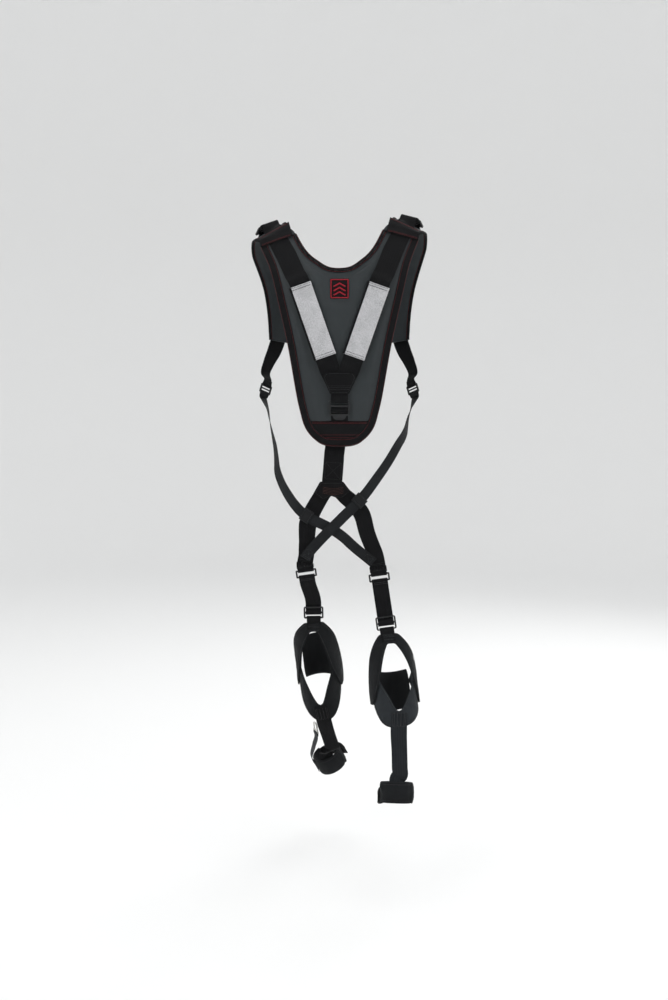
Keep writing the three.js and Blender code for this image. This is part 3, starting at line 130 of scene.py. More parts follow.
        [176.8, 187.0, -358.7, 0.676, -0.663, 0.322, 25, 0], [183, 197, -343, 0.751, -0.661, 0, 27, 0], [175, 210, -314, 0.81, -0.587, 0, 32, 0],
        [162, 221, -285, 0.865, -0.503, 0, 38, 0], [151.9, 229.7, -251.6, 0.877, -0.466, 0.122, 40, 0], [151.0, 230.6, -240.0, 0.885, -0.462, 0.053, 40, 0],
        [150.5, 230.6, -224.3, 0.897, -0.443, -0.014, 40, 0], [150.6, 229.8, -207.5, 0.906, -0.418, -0.071, 40, 0], [151.6, 227.9, -187.5, 0.916, -0.383, -0.117, 40, 0],
        [153.1, 224.9, -166.9, 0.926, -0.345, -0.152, 40, 0], [155.2, 221.0, -146.4, 0.932, -0.31, -0.186, 40, 0], [157.8, 215.9, -126.2, 0.935, -0.272, -0.228, 40, 0],
        [160.9, 209.9, -107.2, 0.937, -0.227, -0.264, 40, 0], [164.4, 202.7, -89.1, 0.939, -0.187, -0.288, 40, 0], [167.9, 194.9, -73.0, 0.943, -0.148, -0.299, 40, 0],
        [171.2, 186.3, -58.0, 0.946, -0.123, -0.299, 40, 0], [174.2, 177.7, -45.1, 0.951, -0.122, -0.285, 40, 0], [176.3, 168.6, -33.1, 0.959, -0.161, -0.235, 40, 0],
        [176.9, 159.4, -21.7, 0.958, -0.215, -0.189, 40, 0], [177.9, 134.4, 1.7, 0.864, -0.396, -0.311, 40, 0], [176.5, 129.8, 3.9, 0.864, -0.396, -0.311, 40, 0],
        [176.6, 127.0, 7.5, 0.864, -0.396, -0.311, 40, 0], [177.5, 126.3, 11.0, 0.864, -0.396, -0.311, 40, 0], [177.8, 125, 13.4, 0.864, -0.396, -0.311, 40, 0],
        [177.3, 123.0, 14.6, 0.864, -0.396, -0.311, 40, 0], [176.4, 120.7, 15.1, 0.864, -0.396, -0.311, 40, 0], [175.2, 118.7, 14.2, 0.864, -0.396, -0.311, 40, 0],
        [173.3, 116.1, 12.3, 0.864, -0.396, -0.311, 40, 0], [171.9, 113.7, 11.6, 0.864, -0.396, -0.311, 40, 0], [170.6, 109.7, 12.9, 0.864, -0.396, -0.311, 40, 0],
    ]),
    "back_webbing_left": (1.6, [
        [-166.4, 93.4, 22.1, 0.864, 0.396, 0.311, 42, 0], [-167.3, 98.1, 18.7, 0.864, 0.396, 0.311, 42, 0], [-168.0, 101.7, 16.1, 0.864, 0.396, 0.311, 42, 0],
        [-168.6, 103.1, 15.8, 0.864, 0.396, 0.311, 42, 0], [-169.2, 104.3, 16.1, 0.864, 0.396, 0.311, 42, 0], [-170, 105.4, 16.8, 0.864, 0.396, 0.311, 42, 0],
        [-170.7, 105.9, 18.0, 0.864, 0.396, 0.311, 42, 0], [-171.2, 106.0, 19.4, 0.864, 0.396, 0.311, 42, 0], [-171.5, 105.6, 20.8, 0.864, 0.396, 0.311, 42, 0],
        [-171.5, 104.7, 21.9, 0.864, 0.396, 0.311, 42, 0], [-171.2, 103.4, 22.7, 0.864, 0.396, 0.311, 42, 0], [-169.5, 99.2, 23.3, 0.864, 0.396, 0.311, 42, 0],
        [-167.3, 93.9, 23.9, 0.864, 0.396, 0.311, 42, 0], [-160.4, 83.8, 7.7, 0.772, 0.212, 0.599, 43, 0], [-154.6, 74.8, 1.7, 0.801, 0.121, 0.586, 43, 0],
        [-149.3, 64.6, -7.3, 0.942, -0.047, 0.331, 44.5, 0], [-147.3, 60.3, -14.4, 0.942, -0.059, 0.331, 45, 0], [-144.8, 55.7, -22.4, 0.941, -0.072, 0.331, 45.5, 0],
        [-140.8, 51.2, -30.5, 0.94, -0.086, 0.33, 46.1, 0], [-136.3, 46.6, -39.5, 0.94, -0.087, 0.33, 46.7, 0], [-131.3, 41.5, -49.5, 0.94, -0.082, 0.33, 47.3, 0],
        [-126.3, 36.6, -59.4, 0.94, -0.081, 0.33, 48, 0], [-119.4, 29.1, -75.2, 0.941, -0.07, 0.331, 48, 0], [-112.6, 21.2, -91.0, 0.941, -0.077, 0.33, 48, 0],
        [-104.9, 13.5, -109, 0.939, -0.102, 0.33, 48, 0], [-96.0, 4.4, -124.8, 0.943, 0, 0.331, 48, 0], [-91.4, 3.8, -138, 0.943, 0, 0.331, 48, 0],
        [-62.5, -0.3, -220.4, 0.943, 0, 0.331, 48, 0], [-33.5, -4.3, -302.8, 0.943, 0, 0.331, 48, 0], [-29.5, -4.8, -314.1, 0.943, 0, 0.331, 48, 0],
        [-23.7, 2.3, -331.7, 0.94, -0.081, 0.33, 48, 0], [-18.1, 5.3, -347.7, 0.941, -0.079, 0.33, 44, 0], [-13.1, 7.6, -362.8, 0.94, -0.08, 0.33, 40, 0],
    ]),
    "back_webbing_right": (1.6, [
        [166.4, 93.4, 22.1, 0.864, -0.396, -0.311, 42, 0], [167.3, 98.1, 18.7, 0.864, -0.396, -0.311, 42, 0], [168.0, 101.7, 16.1, 0.864, -0.396, -0.311, 42, 0],
        [168.6, 103.1, 15.8, 0.864, -0.396, -0.311, 42, 0], [169.2, 104.3, 16.1, 0.864, -0.396, -0.311, 42, 0], [170, 105.4, 16.8, 0.864, -0.396, -0.311, 42, 0],
        [170.7, 105.9, 18.0, 0.864, -0.396, -0.311, 42, 0], [171.2, 106.0, 19.4, 0.864, -0.396, -0.311, 42, 0], [171.5, 105.6, 20.8, 0.864, -0.396, -0.311, 42, 0],
        [171.5, 104.7, 21.9, 0.864, -0.396, -0.311, 42, 0], [171.2, 103.4, 22.7, 0.864, -0.396, -0.311, 42, 0], [169.5, 99.2, 23.3, 0.864, -0.396, -0.311, 42, 0],
        [167.3, 93.9, 23.9, 0.864, -0.396, -0.311, 42, 0], [160.4, 83.8, 7.7, 0.772, -0.212, -0.599, 43, 0], [154.6, 74.8, 1.7, 0.801, -0.121, -0.586, 43, 0],
        [149.3, 64.6, -7.3, 0.942, 0.047, -0.331, 44.5, 0], [147.3, 60.3, -14.4, 0.942, 0.059, -0.331, 45, 0], [144.8, 55.7, -22.4, 0.941, 0.072, -0.331, 45.5, 0],
        [140.8, 51.2, -30.5, 0.94, 0.086, -0.33, 46.1, 0], [136.3, 46.6, -39.5, 0.94, 0.087, -0.33, 46.7, 0], [131.3, 41.5, -49.5, 0.94, 0.082, -0.33, 47.3, 0],
        [126.3, 36.6, -59.4, 0.94, 0.081, -0.33, 48, 0], [119.4, 29.1, -75.2, 0.941, 0.07, -0.331, 48, 0], [112.6, 21.2, -91.0, 0.941, 0.077, -0.33, 48, 0],
        [104.9, 13.5, -109, 0.939, 0.102, -0.33, 48, 0], [96.0, 4.4, -124.8, 0.943, 0, -0.331, 48, 0], [91.4, 3.8, -138, 0.943, 0, -0.331, 48, 0],
        [62.5, -0.3, -220.4, 0.943, 0, -0.331, 48, 0], [33.5, -4.3, -302.8, 0.943, 0, -0.331, 48, 0], [29.5, -4.8, -314.1, 0.943, 0, -0.331, 48, 0],
        [23.8, -0.1, -332.1, 0.94, 0.081, -0.33, 48, 0], [18.2, 2.9, -348.1, 0.941, 0.079, -0.33, 44, 0], [13.2, 5.3, -363.2, 0.94, 0.08, -0.33, 40, 0],
    ]),
    "chest_strap_left": (1.6, [
        [-58.7, 239.9, -150, 0, 0, -1, 22, 0], [-51.1, 238.4, -150, 0, 0, -1, 22, 0], [-45.7, 237.8, -150, 0, 0, -1, 22, 0],
        [-44.5, 238.0, -150, 0, 0, -1, 22, 0], [-43.4, 238.7, -150, 0, 0, -1, 22, 0], [-42.7, 239.8, -150, 0, 0, -1, 22, 0],
        [-42.5, 241, -150, 0, 0, -1, 22, 0], [-42.7, 242.2, -150, 0, 0, -1, 22, 0], [-43.4, 243.3, -150, 0, 0, -1, 22, 0],
        [-44.5, 244.0, -150, 0, 0, -1, 22, 0], [-45.7, 244.2, -150, 0, 0, -1, 22, 0], [-51.1, 243.6, -150, 0, 0, -1, 22, 0],
        [-58.7, 242.1, -150, 0, 0, -1, 22, 0], [-80, 239, -148, 0, 0, -1, 22, 0], [-100, 234.5, -146, 0, 0, -1, 22, 0],
        [-116, 228.5, -145, 0, 0, -1, 22, 0],
    ]),
    "chest_strap_right": (1.6, [
        [35.2, 239.9, -150, 0, 0, 1, 22, 0], [27.6, 238.4, -150, 0, 0, 1, 22, 0], [22.2, 237.8, -150, 0, 0, 1, 22, 0],
        [21.0, 238.0, -150, 0, 0, 1, 22, 0], [19.9, 238.7, -150, 0, 0, 1, 22, 0], [19.2, 239.8, -150, 0, 0, 1, 22, 0],
        [19, 241, -150, 0, 0, 1, 22, 0], [19.2, 242.2, -150, 0, 0, 1, 22, 0], [19.9, 243.3, -150, 0, 0, 1, 22, 0],
        [21.0, 244.0, -150, 0, 0, 1, 22, 0], [22.2, 244.2, -150, 0, 0, 1, 22, 0], [27.6, 243.6, -150, 0, 0, 1, 22, 0],
        [35.2, 242.1, -150, 0, 0, 1, 22, 0], [80, 239, -148, 0, 0, 1, 22, 0], [100, 234.5, -146, 0, 0, 1, 22, 0],
        [116, 228.5, -145, 0, 0, 1, 22, 0],
    ]),
    "leg_strap_left": (1.6, [
        [-28.2, 12, -609.6, 0.852, 0, -0.524, 36.1, 0], [-33.0, 10.4, -616.5, 0.873, 0, -0.487, 36.6, 0], [-37.8, 8.9, -623.4, 0.893, 0, -0.449, 37.1, 0],
        [-42.5, 7.3, -630.4, 0.912, 0, -0.411, 37.7, 0], [-47.1, 6, -637.6, 0.928, 0, -0.371, 38.2, 0], [-52.1, 4.8, -645.8, 0.921, 0, -0.389, 38.7, 0],
        [-57.0, 3.7, -654.4, 0.913, 0, -0.407, 39.2, 0], [-61.7, 2.8, -662.9, 0.905, 0, -0.425, 39.7, 0], [-65.7, 2, -671.1, 0.897, 0, -0.442, 40.2, 0],
        [-68.4, 1.3, -677.1, 0.889, 0, -0.458, 40.8, 0], [-70.7, 0.6, -682.8, 0.881, 0, -0.474, 41.3, 0], [-72.7, 0.1, -688.7, 0.872, 0, -0.489, 41.9, 0],
        [-74.4, 0, -695.2, 0.863, 0, -0.505, 42.4, 0], [-75.8, 0.4, -705.1, 0.902, 0, -0.431, 41.2, 0], [-76.5, 1.3, -716.1, 0.936, 0, -0.353, 40, 0],
        [-76.9, 2.8, -727.5, 0.962, 0, -0.273, 38.8, 0], [-77.3, 5, -738.6, 0.981, 0, -0.192, 37.6, 0], [-77.9, 8.4, -749.6, 0.994, 0, -0.111, 37.5, 0],
        [-78.3, 12.8, -760.6, 1, 0, -0.029, 37.5, 0], [-78.7, 17.5, -771.5, 0.999, 0, 0.053, 37.4, 0], [-82.0, 24.3, -798.0, 0.99, 0, 0.139, 38, 0],
        [-80.9, 24.6, -806.2, 0.99, 0, 0.139, 38, 0], [-80.2, 24.5, -811.2, 0.99, 0, 0.139, 38, 0], [-80.0, 25.1, -812.5, 0.99, 0, 0.139, 38, 0],
        [-79.8, 26.2, -813.6, 0.99, 0, 0.139, 38, 0], [-79.8, 27.6, -814.1, 0.99, 0, 0.139, 38, 0], [-79.8, 29.1, -814.0, 0.99, 0, 0.139, 38, 0],
        [-79.8, 30.4, -813.5, 0.99, 0, 0.139, 38, 0], [-80, 31.4, -812.4, 0.99, 0, 0.139, 38, 0], [-80.2, 32.0, -811.0, 0.99, 0, 0.139, 38, 0],
        [-80.4, 31.9, -809.5, 0.99, 0, 0.139, 38, 0], [-81.0, 29.6, -805.0, 0.99, 0, 0.139, 38, 0], [-82.1, 26.4, -797.6, 0.99, 0, 0.139, 38, 0],
    ]),
    "leg_strap_right": (1.6, [
        [-5.2, 8.6, -613.2, 0.872, 0, 0.489, 33.9, 0], [-0.4, 7.6, -617.9, 0.86, 0, 0.51, 34.8, 0], [4.4, 6.5, -622.6, 0.848, 0, 0.53, 35.7, 0],
        [9.3, 5.5, -627.2, 0.835, 0, 0.55, 36.5, 0], [14.2, 4.6, -631.9, 0.822, 0, 0.57, 37.4, 0], [19.5, 3.9, -636.4, 0.812, 0, 0.584, 37.7, 0],
        [24.9, 3.3, -640.8, 0.802, 0, 0.597, 38, 0], [30.3, 2.8, -645.4, 0.792, 0, 0.611, 38.3, 0], [35.3, 2.4, -650.2, 0.782, 0, 0.624, 38.6, 0],
        [40.0, 2.1, -655.3, 0.785, 0, 0.619, 38.9, 0], [44.5, 2.0, -660.5, 0.789, 0, 0.614, 39.2, 0], [48.7, 2.0, -666.2, 0.793, 0, 0.61, 39.4, 0],
        [52.5, 2, -672.7, 0.796, 0, 0.605, 39.7, 0], [56.4, 2.0, -682.8, 0.826, 0, 0.564, 39.3, 0], [59.4, 2.0, -694.4, 0.853, 0, 0.522, 39, 0],
        [62.3, 2.2, -706.8, 0.878, 0, 0.478, 38.6, 0], [65.8, 3, -719.3, 0.901, 0, 0.434, 38.3, 0], [71.4, 4.8, -734.6, 0.929, 0, 0.369, 37.8, 0],
        [77.8, 7.4, -750.6, 0.953, 0, 0.302, 37.4, 0], [84.5, 10.3, -766.9, 0.972, 0, 0.233, 36.9, 0], [92.3, 15.6, -805.9, 0.99, 0, 0.139, 38, 0],
        [93.5, 15.4, -814.0, 0.99, 0, 0.139, 38, 0], [94.2, 15.0, -819.1, 0.99, 0, 0.139, 38, 0], [94.4, 15.5, -820.5, 0.99, 0, 0.139, 38, 0],
        [94.5, 16.5, -821.5, 0.99, 0, 0.139, 38, 0], [94.6, 17.9, -822.1, 0.99, 0, 0.139, 38, 0], [94.6, 19.3, -822.2, 0.99, 0, 0.139, 38, 0],
        [94.5, 20.7, -821.7, 0.99, 0, 0.139, 38, 0], [94.4, 21.8, -820.7, 0.99, 0, 0.139, 38, 0], [94.2, 22.4, -819.4, 0.99, 0, 0.139, 38, 0],
        [94.0, 22.5, -817.9, 0.99, 0, 0.139, 38, 0], [93.4, 20.5, -813.2, 0.99, 0, 0.139, 38, 0], [92.3, 17.7, -805.6, 0.99, 0, 0.139, 38, 0],
    ]),
    "hip_strap_left": (1.6, [
        [-186.7, 177.4, -399.4, -0.676, -0.663, 0.322, 25, 0], [-183.8, 177.6, -392.9, -0.676, -0.663, 0.322, 25, 0], [-181.9, 177.4, -389.2, -0.676, -0.663, 0.322, 25, 0],
        [-181.7, 177.9, -387.8, -0.676, -0.663, 0.322, 25, 0], [-182.0, 178.8, -386.6, -0.676, -0.663, 0.322, 25, 0], [-182.6, 179.8, -385.7, -0.676, -0.663, 0.322, 25, 0],
        [-183.5, 180.9, -385.4, -0.676, -0.663, 0.322, 25, 0], [-184.6, 181.9, -385.6, -0.676, -0.663, 0.322, 25, 0], [-185.7, 182.7, -386.3, -0.676, -0.663, 0.322, 25, 0],
        [-186.5, 183.0, -387.4, -0.676, -0.663, 0.322, 25, 0], [-187.1, 183.0, -388.8, -0.676, -0.663, 0.322, 25, 0], [-187.3, 181.3, -392.7, -0.676, -0.663, 0.322, 25, 0],
        [-188.2, 178.9, -399.3, -0.676, -0.663, 0.322, 25, 0], [-185.4, 176.9, -406.5, -0.577, -0.763, 0.292, 25, 0], [-182.6, 174.9, -413.7, -0.461, -0.85, 0.254, 25, 0],
        [-179.8, 173.0, -420.8, -0.335, -0.918, 0.211, 25, 0], [-177, 171, -428, -0.207, -0.964, 0.165, 25, 0], [-172.8, 166.6, -450.2, -0.061, -0.981, 0.182, 25, 0],
        [-168.6, 161.7, -472.3, 0.083, -0.961, 0.265, 25, 0], [-163.7, 155.8, -494.3, 0.194, -0.93, 0.313, 25, 0], [-158.9, 148.3, -515.3, 0.293, -0.845, 0.447, 25, 0],
        [-156.2, 138.9, -530.6, 0.344, -0.712, 0.612, 25, 0], [-154.6, 128.1, -543.2, 0.393, -0.668, 0.632, 25, 0], [-153.1, 117.1, -556.6, 0.475, -0.667, 0.574, 25, 0],
        [-151.8, 105.7, -570.5, 0.541, -0.6, 0.589, 25, 0], [-148.7, 94.5, -583.0, 0.555, -0.505, 0.661, 25, 0], [-144.1, 83.3, -594.4, 0.549, -0.44, 0.711, 25, 0],
        [-139.2, 71.5, -604.6, 0.526, -0.378, 0.762, 25, 0], [-134.1, 59.1, -613.5, 0.515, -0.328, 0.792, 25, 0], [-128.6, 47.2, -622.1, 0.551, -0.311, 0.775, 25, 0],
        [-122.6, 36.3, -630.7, 0.566, -0.283, 0.774, 25, 0], [-116.2, 25.7, -639.0, 0.573, -0.252, 0.779, 25, 0], [-110.0, 15.3, -646.8, 0.57, -0.232, 0.788, 25, 0],
        [-103, 6, -654.5, 0.581, -0.219, 0.784, 25, 0], [-95.5, -0.9, -662.1, 0.602, -0.193, 0.775, 25, 0], [-87.1, -6.1, -669.5, 0.569, -0.152, 0.808, 25, 0],
        [-77.8, -9.2, -676.1, 0.52, -0.101, 0.848, 25, 0], [-67.6, -10.6, -682.2, 0.493, -0.059, 0.868, 25, 0], [-56.8, -10.5, -688.0, 0.446, -0.029, 0.894, 25, 0],
        [-45.4, -9.1, -693.6, 0.445, -0.008, 0.895, 25, 0], [-34.2, -7.5, -699.3, 0.458, 0, 0.889, 25, 0], [-23.2, -5.7, -705.2, 0.492, 0, 0.87, 25, 0],
        [-11.5, -4.6, -712.4, 0.546, -0.02, 0.838, 25, 0], [0.8, -4.5, -720.8, 0.59, -0.057, 0.805, 25, 0], [13.0, -4.5, -730.5, 0.656, -0.082, 0.75, 25, 0],
        [25.1, -4.8, -741.8, 0.686, -0.096, 0.722, 25, 0], [37.4, -4.2, -753.0, 0.658, -0.118, 0.744, 25, 0], [50.0, -2.2, -763.7, 0.652, -0.145, 0.745, 25, 0],
        [61.7, 0.3, -773.5, 0.659, -0.168, 0.734, 25, 0], [71, 2.6, -781.4, 0.663, -0.178, 0.727, 25, 0], [80, 5, -789, 0.662, -0.189, 0.725, 25, 0],
    ]),
    "hip_strap_right": (1.6, [
        [186.7, 177.4, -399.4, -0.676, 0.663, -0.322, 25, 0], [183.8, 177.6, -392.9, -0.676, 0.663, -0.322, 25, 0], [181.9, 177.4, -389.2, -0.676, 0.663, -0.322, 25, 0],
        [181.7, 177.9, -387.8, -0.676, 0.663, -0.322, 25, 0], [182.0, 178.8, -386.6, -0.676, 0.663, -0.322, 25, 0], [182.6, 179.8, -385.7, -0.676, 0.663, -0.322, 25, 0],
        [183.5, 180.9, -385.4, -0.676, 0.663, -0.322, 25, 0], [184.6, 181.9, -385.6, -0.676, 0.663, -0.322, 25, 0], [185.7, 182.7, -386.3, -0.676, 0.663, -0.322, 25, 0],
        [186.5, 183.0, -387.4, -0.676, 0.663, -0.322, 25, 0], [187.1, 183.0, -388.8, -0.676, 0.663, -0.322, 25, 0], [187.3, 181.3, -392.7, -0.676, 0.663, -0.322, 25, 0],
        [188.2, 178.9, -399.3, -0.676, 0.663, -0.322, 25, 0], [185.7, 177.4, -406, -0.57, 0.737, -0.363, 25, 0], [183.3, 175.9, -412.7, -0.449, 0.8, -0.398, 25, 0],
        [180.9, 174.5, -419.3, -0.319, 0.847, -0.425, 25, 0], [178.5, 173, -426, -0.188, 0.876, -0.444, 25, 0], [174.5, 166.8, -438.0, -0.059, 0.897, -0.437, 25, 0],
        [170.6, 159.6, -450.0, 0.064, 0.79, -0.61, 25, 0], [166.5, 144.9, -465.2, 0.184, 0.631, -0.754, 25, 0], [162.1, 126.0, -481.0, 0.302, 0.548, -0.78, 25, 0],
        [154.7, 107.9, -495.3, 0.367, 0.424, -0.828, 25, 0], [145.1, 90.0, -508.7, 0.457, 0.387, -0.801, 25, 0], [135.1, 75.3, -523.9, 0.584, 0.43, -0.688, 25, 0],
        [124.7, 63.9, -540.7, 0.624, 0.413, -0.663, 25, 0], [113.0, 51.2, -558.0, 0.602, 0.354, -0.716, 25, 0], [99.4, 36.1, -576.3, 0.607, 0.316, -0.73, 25, 0],
        [85.5, 21.8, -594.3, 0.637, 0.29, -0.714, 25, 0], [71.8, 8.4, -611.9, 0.661, 0.253, -0.707, 25, 0], [58.1, -2.2, -628.5, 0.679, 0.214, -0.703, 25, 0],
        [47.2, -6.8, -640.3, 0.686, 0.164, -0.709, 25, 0], [36.1, -9.3, -651.6, 0.695, 0.115, -0.709, 25, 0], [24.3, -10.7, -663.3, 0.695, 0.065, -0.716, 25, 0],
        [12.2, -10.9, -675.0, 0.699, 0.016, -0.715, 25, 0], [1.0, -11.2, -686.2, 0.706, 0, -0.708, 25, 0], [-9.8, -11.2, -697.0, 0.709, 0, -0.706, 25, 0],
        [-21.2, -10.7, -708.4, 0.705, 0.008, -0.709, 25, 0], [-33.3, -9.9, -720.5, 0.714, 0.024, -0.7, 25, 0], [-45, -8.4, -732.8, 0.735, 0.047, -0.676, 25, 0],
        [-56.2, -6.3, -745.2, 0.756, 0.085, -0.649, 25, 0], [-66.4, -3.5, -757.2, 0.798, 0.112, -0.592, 25, 0], [-74.4, 0.1, -768.1, 0.833, 0.121, -0.54, 25, 0],
        [-82, 4, -779, 0.824, 0.143, -0.548, 25, 0],
    ]),
    "thigh_elastic_left": (1.6, [
        [-76.5, 37.2, -837.6, 0.99, 0, 0.139, 38, 0], [-77.6, 35.9, -829.6, 0.99, 0, 0.139, 38, 0], [-78.3, 35.3, -824.5, 0.99, 0, 0.139, 38, 0],
        [-78.5, 34.6, -823.3, 0.99, 0, 0.139, 38, 0], [-78.6, 33.4, -822.4, 0.99, 0, 0.139, 38, 0], [-78.6, 31.9, -822.1, 0.99, 0, 0.139, 38, 0],
        [-78.6, 30.5, -822.3, 0.99, 0, 0.139, 38, 0], [-78.5, 29.2, -823.0, 0.99, 0, 0.139, 38, 0], [-78.3, 28.3, -824.2, 0.99, 0, 0.139, 38, 0],
        [-78.1, 28.0, -825.6, 0.99, 0, 0.139, 38, 0], [-77.9, 28.2, -827.1, 0.99, 0, 0.139, 38, 0], [-77.3, 31.1, -831.3, 0.99, 0, 0.139, 38, 0],
        [-76.4, 35.2, -838.3, 0.99, 0, 0.139, 38, 0], [-62.9, 60.2, -892.5, 1, 0, 0.017, 38, 0], [-62.7, 63.6, -901.9, 1, 0, 0.017, 38, 0],
        [-62.6, 65.1, -906.2, 1, 0, 0.017, 38, 0], [-62.5, 65.5, -910.8, 1, 0, 0.017, 38, 0], [-62.5, 63.3, -915.1, 1, 0, 0.017, 38, 0],
        [-62.4, 62.1, -917.9, 1, 0, 0.017, 38, 0], [-62.4, 62.6, -920.3, 1, 0, 0.017, 38, 0], [-62.3, 63.9, -922.5, 1, 0, 0.017, 38, 0],
        [-62.3, 66.5, -923.8, 1, 0, 0.017, 38, 0], [-62.3, 69.7, -923.9, 1, 0, 0.017, 38, 0],
    ]),
    "calf_strap_left": (1.6, [
        [-46.0, 147.7, -1173.7, 0.996, 0, 0.09, 38, 0.0085], [-44.1, 150.7, -1183.2, 0.996, 0, 0.09, 38, 0.0085], [-41.9, 153.9, -1193.6, 0.996, 0, 0.09, 38, 0.0085],
        [-39.6, 157.2, -1204.0, 0.996, 0, 0.09, 38, 0.0085], [-37.1, 160.8, -1215.4, 0.996, 0, 0.09, 38, 0.0085], [-25.6, 184, -1258.4, 0.989, 0, 0.145, 36, 0.004],
        [-19.2, 194.5, -1280.7, 0.971, 0, 0.239, 36, 0.004], [-15.4, 200.8, -1294.1, 0.937, 0.001, 0.348, 35, 0.008], [-34.1, 221.5, -1315.1, 0.892, 0.001, 0.452, 34, 0.017],
        [-27.9, 224.2, -1327.4, 0.892, 0.001, 0.452, 34, 0.017], [-20.4, 229.4, -1342.3, 0.892, 0.001, 0.452, 34, 0.017], [-12.8, 234.7, -1357.2, 0.892, 0.001, 0.452, 34, 0.017],
    ]),
    "ankle_cuff_left": (5, [
        [-42.3, 288.9, -1332.4, -0.431, -0.3, 0.851, 47, 0], [-47.8, 284.9, -1336.6, -0.431, -0.3, 0.851, 47, 0], [-52.1, 279.6, -1340.7, -0.431, -0.3, 0.851, 47, 0],
        [-55.0, 273.2, -1344.4, -0.431, -0.3, 0.851, 47, 0], [-56.4, 266.0, -1347.6, -0.431, -0.3, 0.851, 47, 0], [-56.2, 258.5, -1350.2, -0.431, -0.3, 0.851, 47, 0],
        [-54.4, 250.9, -1351.9, -0.431, -0.3, 0.851, 47, 0], [-51.0, 243.7, -1352.8, -0.431, -0.3, 0.851, 47, 0], [-46.3, 237.2, -1352.7, -0.431, -0.3, 0.851, 47, 0],
        [-40.5, 231.8, -1351.7, -0.431, -0.3, 0.851, 47, 0], [-33.9, 227.8, -1349.8, -0.431, -0.3, 0.851, 47, 0], [-26.8, 225.2, -1347.1, -0.431, -0.3, 0.851, 47, 0],
        [-19.6, 224.4, -1343.7, -0.431, -0.3, 0.851, 47, 0], [-12.7, 225.2, -1339.9, -0.431, -0.3, 0.851, 47, 0], [-6.3, 227.8, -1335.8, -0.431, -0.3, 0.851, 47, 0],
        [-0.9, 231.9, -1331.6, -0.431, -0.3, 0.851, 47, 0], [3.4, 237.3, -1327.5, -0.431, -0.3, 0.851, 47, 0], [6.2, 243.7, -1323.8, -0.431, -0.3, 0.851, 47, 0],
        [7.5, 250.9, -1320.6, -0.431, -0.3, 0.851, 47, 0], [7.2, 258.5, -1318.1, -0.431, -0.3, 0.851, 47, 0], [5.2, 266.1, -1316.4, -0.431, -0.3, 0.851, 47, 0],
        [1.8, 273.2, -1315.7, -0.431, -0.3, 0.851, 47, 0], [-3.0, 279.6, -1315.8, -0.431, -0.3, 0.851, 47, 0], [-8.8, 285.0, -1316.9, -0.431, -0.3, 0.851, 47, 0],
        [-15.5, 288.9, -1318.8, -0.431, -0.3, 0.851, 47, 0],
    ]),
    "cuff_flap_left": (2.4, [
        [-56.0, 281.7, -1341.9, 0.431, 0.3, -0.851, 34, 0], [-51.6, 287.4, -1337.7, 0.431, 0.3, -0.851, 34, 0], [-46.2, 291.8, -1333.2, 0.431, 0.3, -0.851, 34, 0],
        [-39.8, 294.8, -1328.8, 0.431, 0.3, -0.851, 34, 0], [-32.8, 296.2, -1324.6, 0.431, 0.3, -0.851, 34, 0], [-25.4, 295.9, -1320.7, 0.431, 0.3, -0.851, 34, 0],
        [-18.1, 294.0, -1317.4, 0.431, 0.3, -0.851, 34, 0], [-11.0, 290.5, -1314.7, 0.431, 0.3, -0.851, 34, 0], [-4.6, 285.5, -1312.8, 0.431, 0.3, -0.851, 34, 0],
        [0.9, 279.4, -1311.7, 0.431, 0.3, -0.851, 33, 0], [7.1, 273.2, -1310.2, 0.431, 0.3, -0.851, 31, 0], [12.5, 265.5, -1309.6, 0.431, 0.3, -0.851, 27, 0],
        [16.6, 256.4, -1310.1, 0.431, 0.3, -0.851, 20, 0], [19.0, 246.3, -1311.8, 0.431, 0.3, -0.851, 11, 0],
    ]),
    "shin_strap_left": (1.2, [
        [-52.6, 258.5, -1364.8, -0.209, 0.942, 0.262, 20, 0], [-62.1, 251.9, -1346.1, -0.209, 0.942, 0.262, 20, 0], [-70.1, 245, -1330.9, -0.209, 0.942, 0.262, 20, 0],
        [-64.5, 225, -1290.9, -0.406, 0.862, 0.304, 19, 0], [-58.6, 209.2, -1261.2, -0.571, 0.762, 0.305, 15, 0], [-60, 205.8, -1255.2, -0.571, 0.762, 0.305, 15, 0],
        [-61.0, 203.7, -1251.8, -0.571, 0.762, 0.305, 15, 0], [-60.9, 203.3, -1250.8, -0.571, 0.762, 0.305, 15, 0], [-60.5, 203.3, -1249.8, -0.571, 0.762, 0.305, 15, 0],
        [-59.8, 203.4, -1249.1, -0.571, 0.762, 0.305, 15, 0], [-59.0, 203.9, -1248.6, -0.571, 0.762, 0.305, 15, 0], [-58.2, 204.5, -1248.4, -0.571, 0.762, 0.305, 15, 0],
        [-57.4, 205.1, -1248.7, -0.571, 0.762, 0.305, 15, 0], [-56.9, 205.8, -1249.3, -0.571, 0.762, 0.305, 15, 0], [-56.6, 206.3, -1250.2, -0.571, 0.762, 0.305, 15, 0],
        [-57.0, 207.6, -1254.1, -0.571, 0.762, 0.305, 15, 0], [-57.2, 210.1, -1260.7, -0.571, 0.762, 0.305, 15, 0],
    ]),
    "thigh_elastic_right": (1.6, [
        [98.1, 19.6, -846.9, 0.99, 0, 0.139, 38, 0], [97.0, 22.8, -839.4, 0.99, 0, 0.139, 38, 0], [96.4, 25.0, -834.9, 0.99, 0, 0.139, 38, 0],
        [96.2, 25.0, -833.4, 0.99, 0, 0.139, 38, 0], [96.0, 24.5, -832.1, 0.99, 0, 0.139, 38, 0], [95.9, 23.4, -831.0, 0.99, 0, 0.139, 38, 0],
        [95.8, 22.1, -830.4, 0.99, 0, 0.139, 38, 0], [95.8, 20.6, -830.4, 0.99, 0, 0.139, 38, 0], [95.9, 19.2, -831.0, 0.99, 0, 0.139, 38, 0],
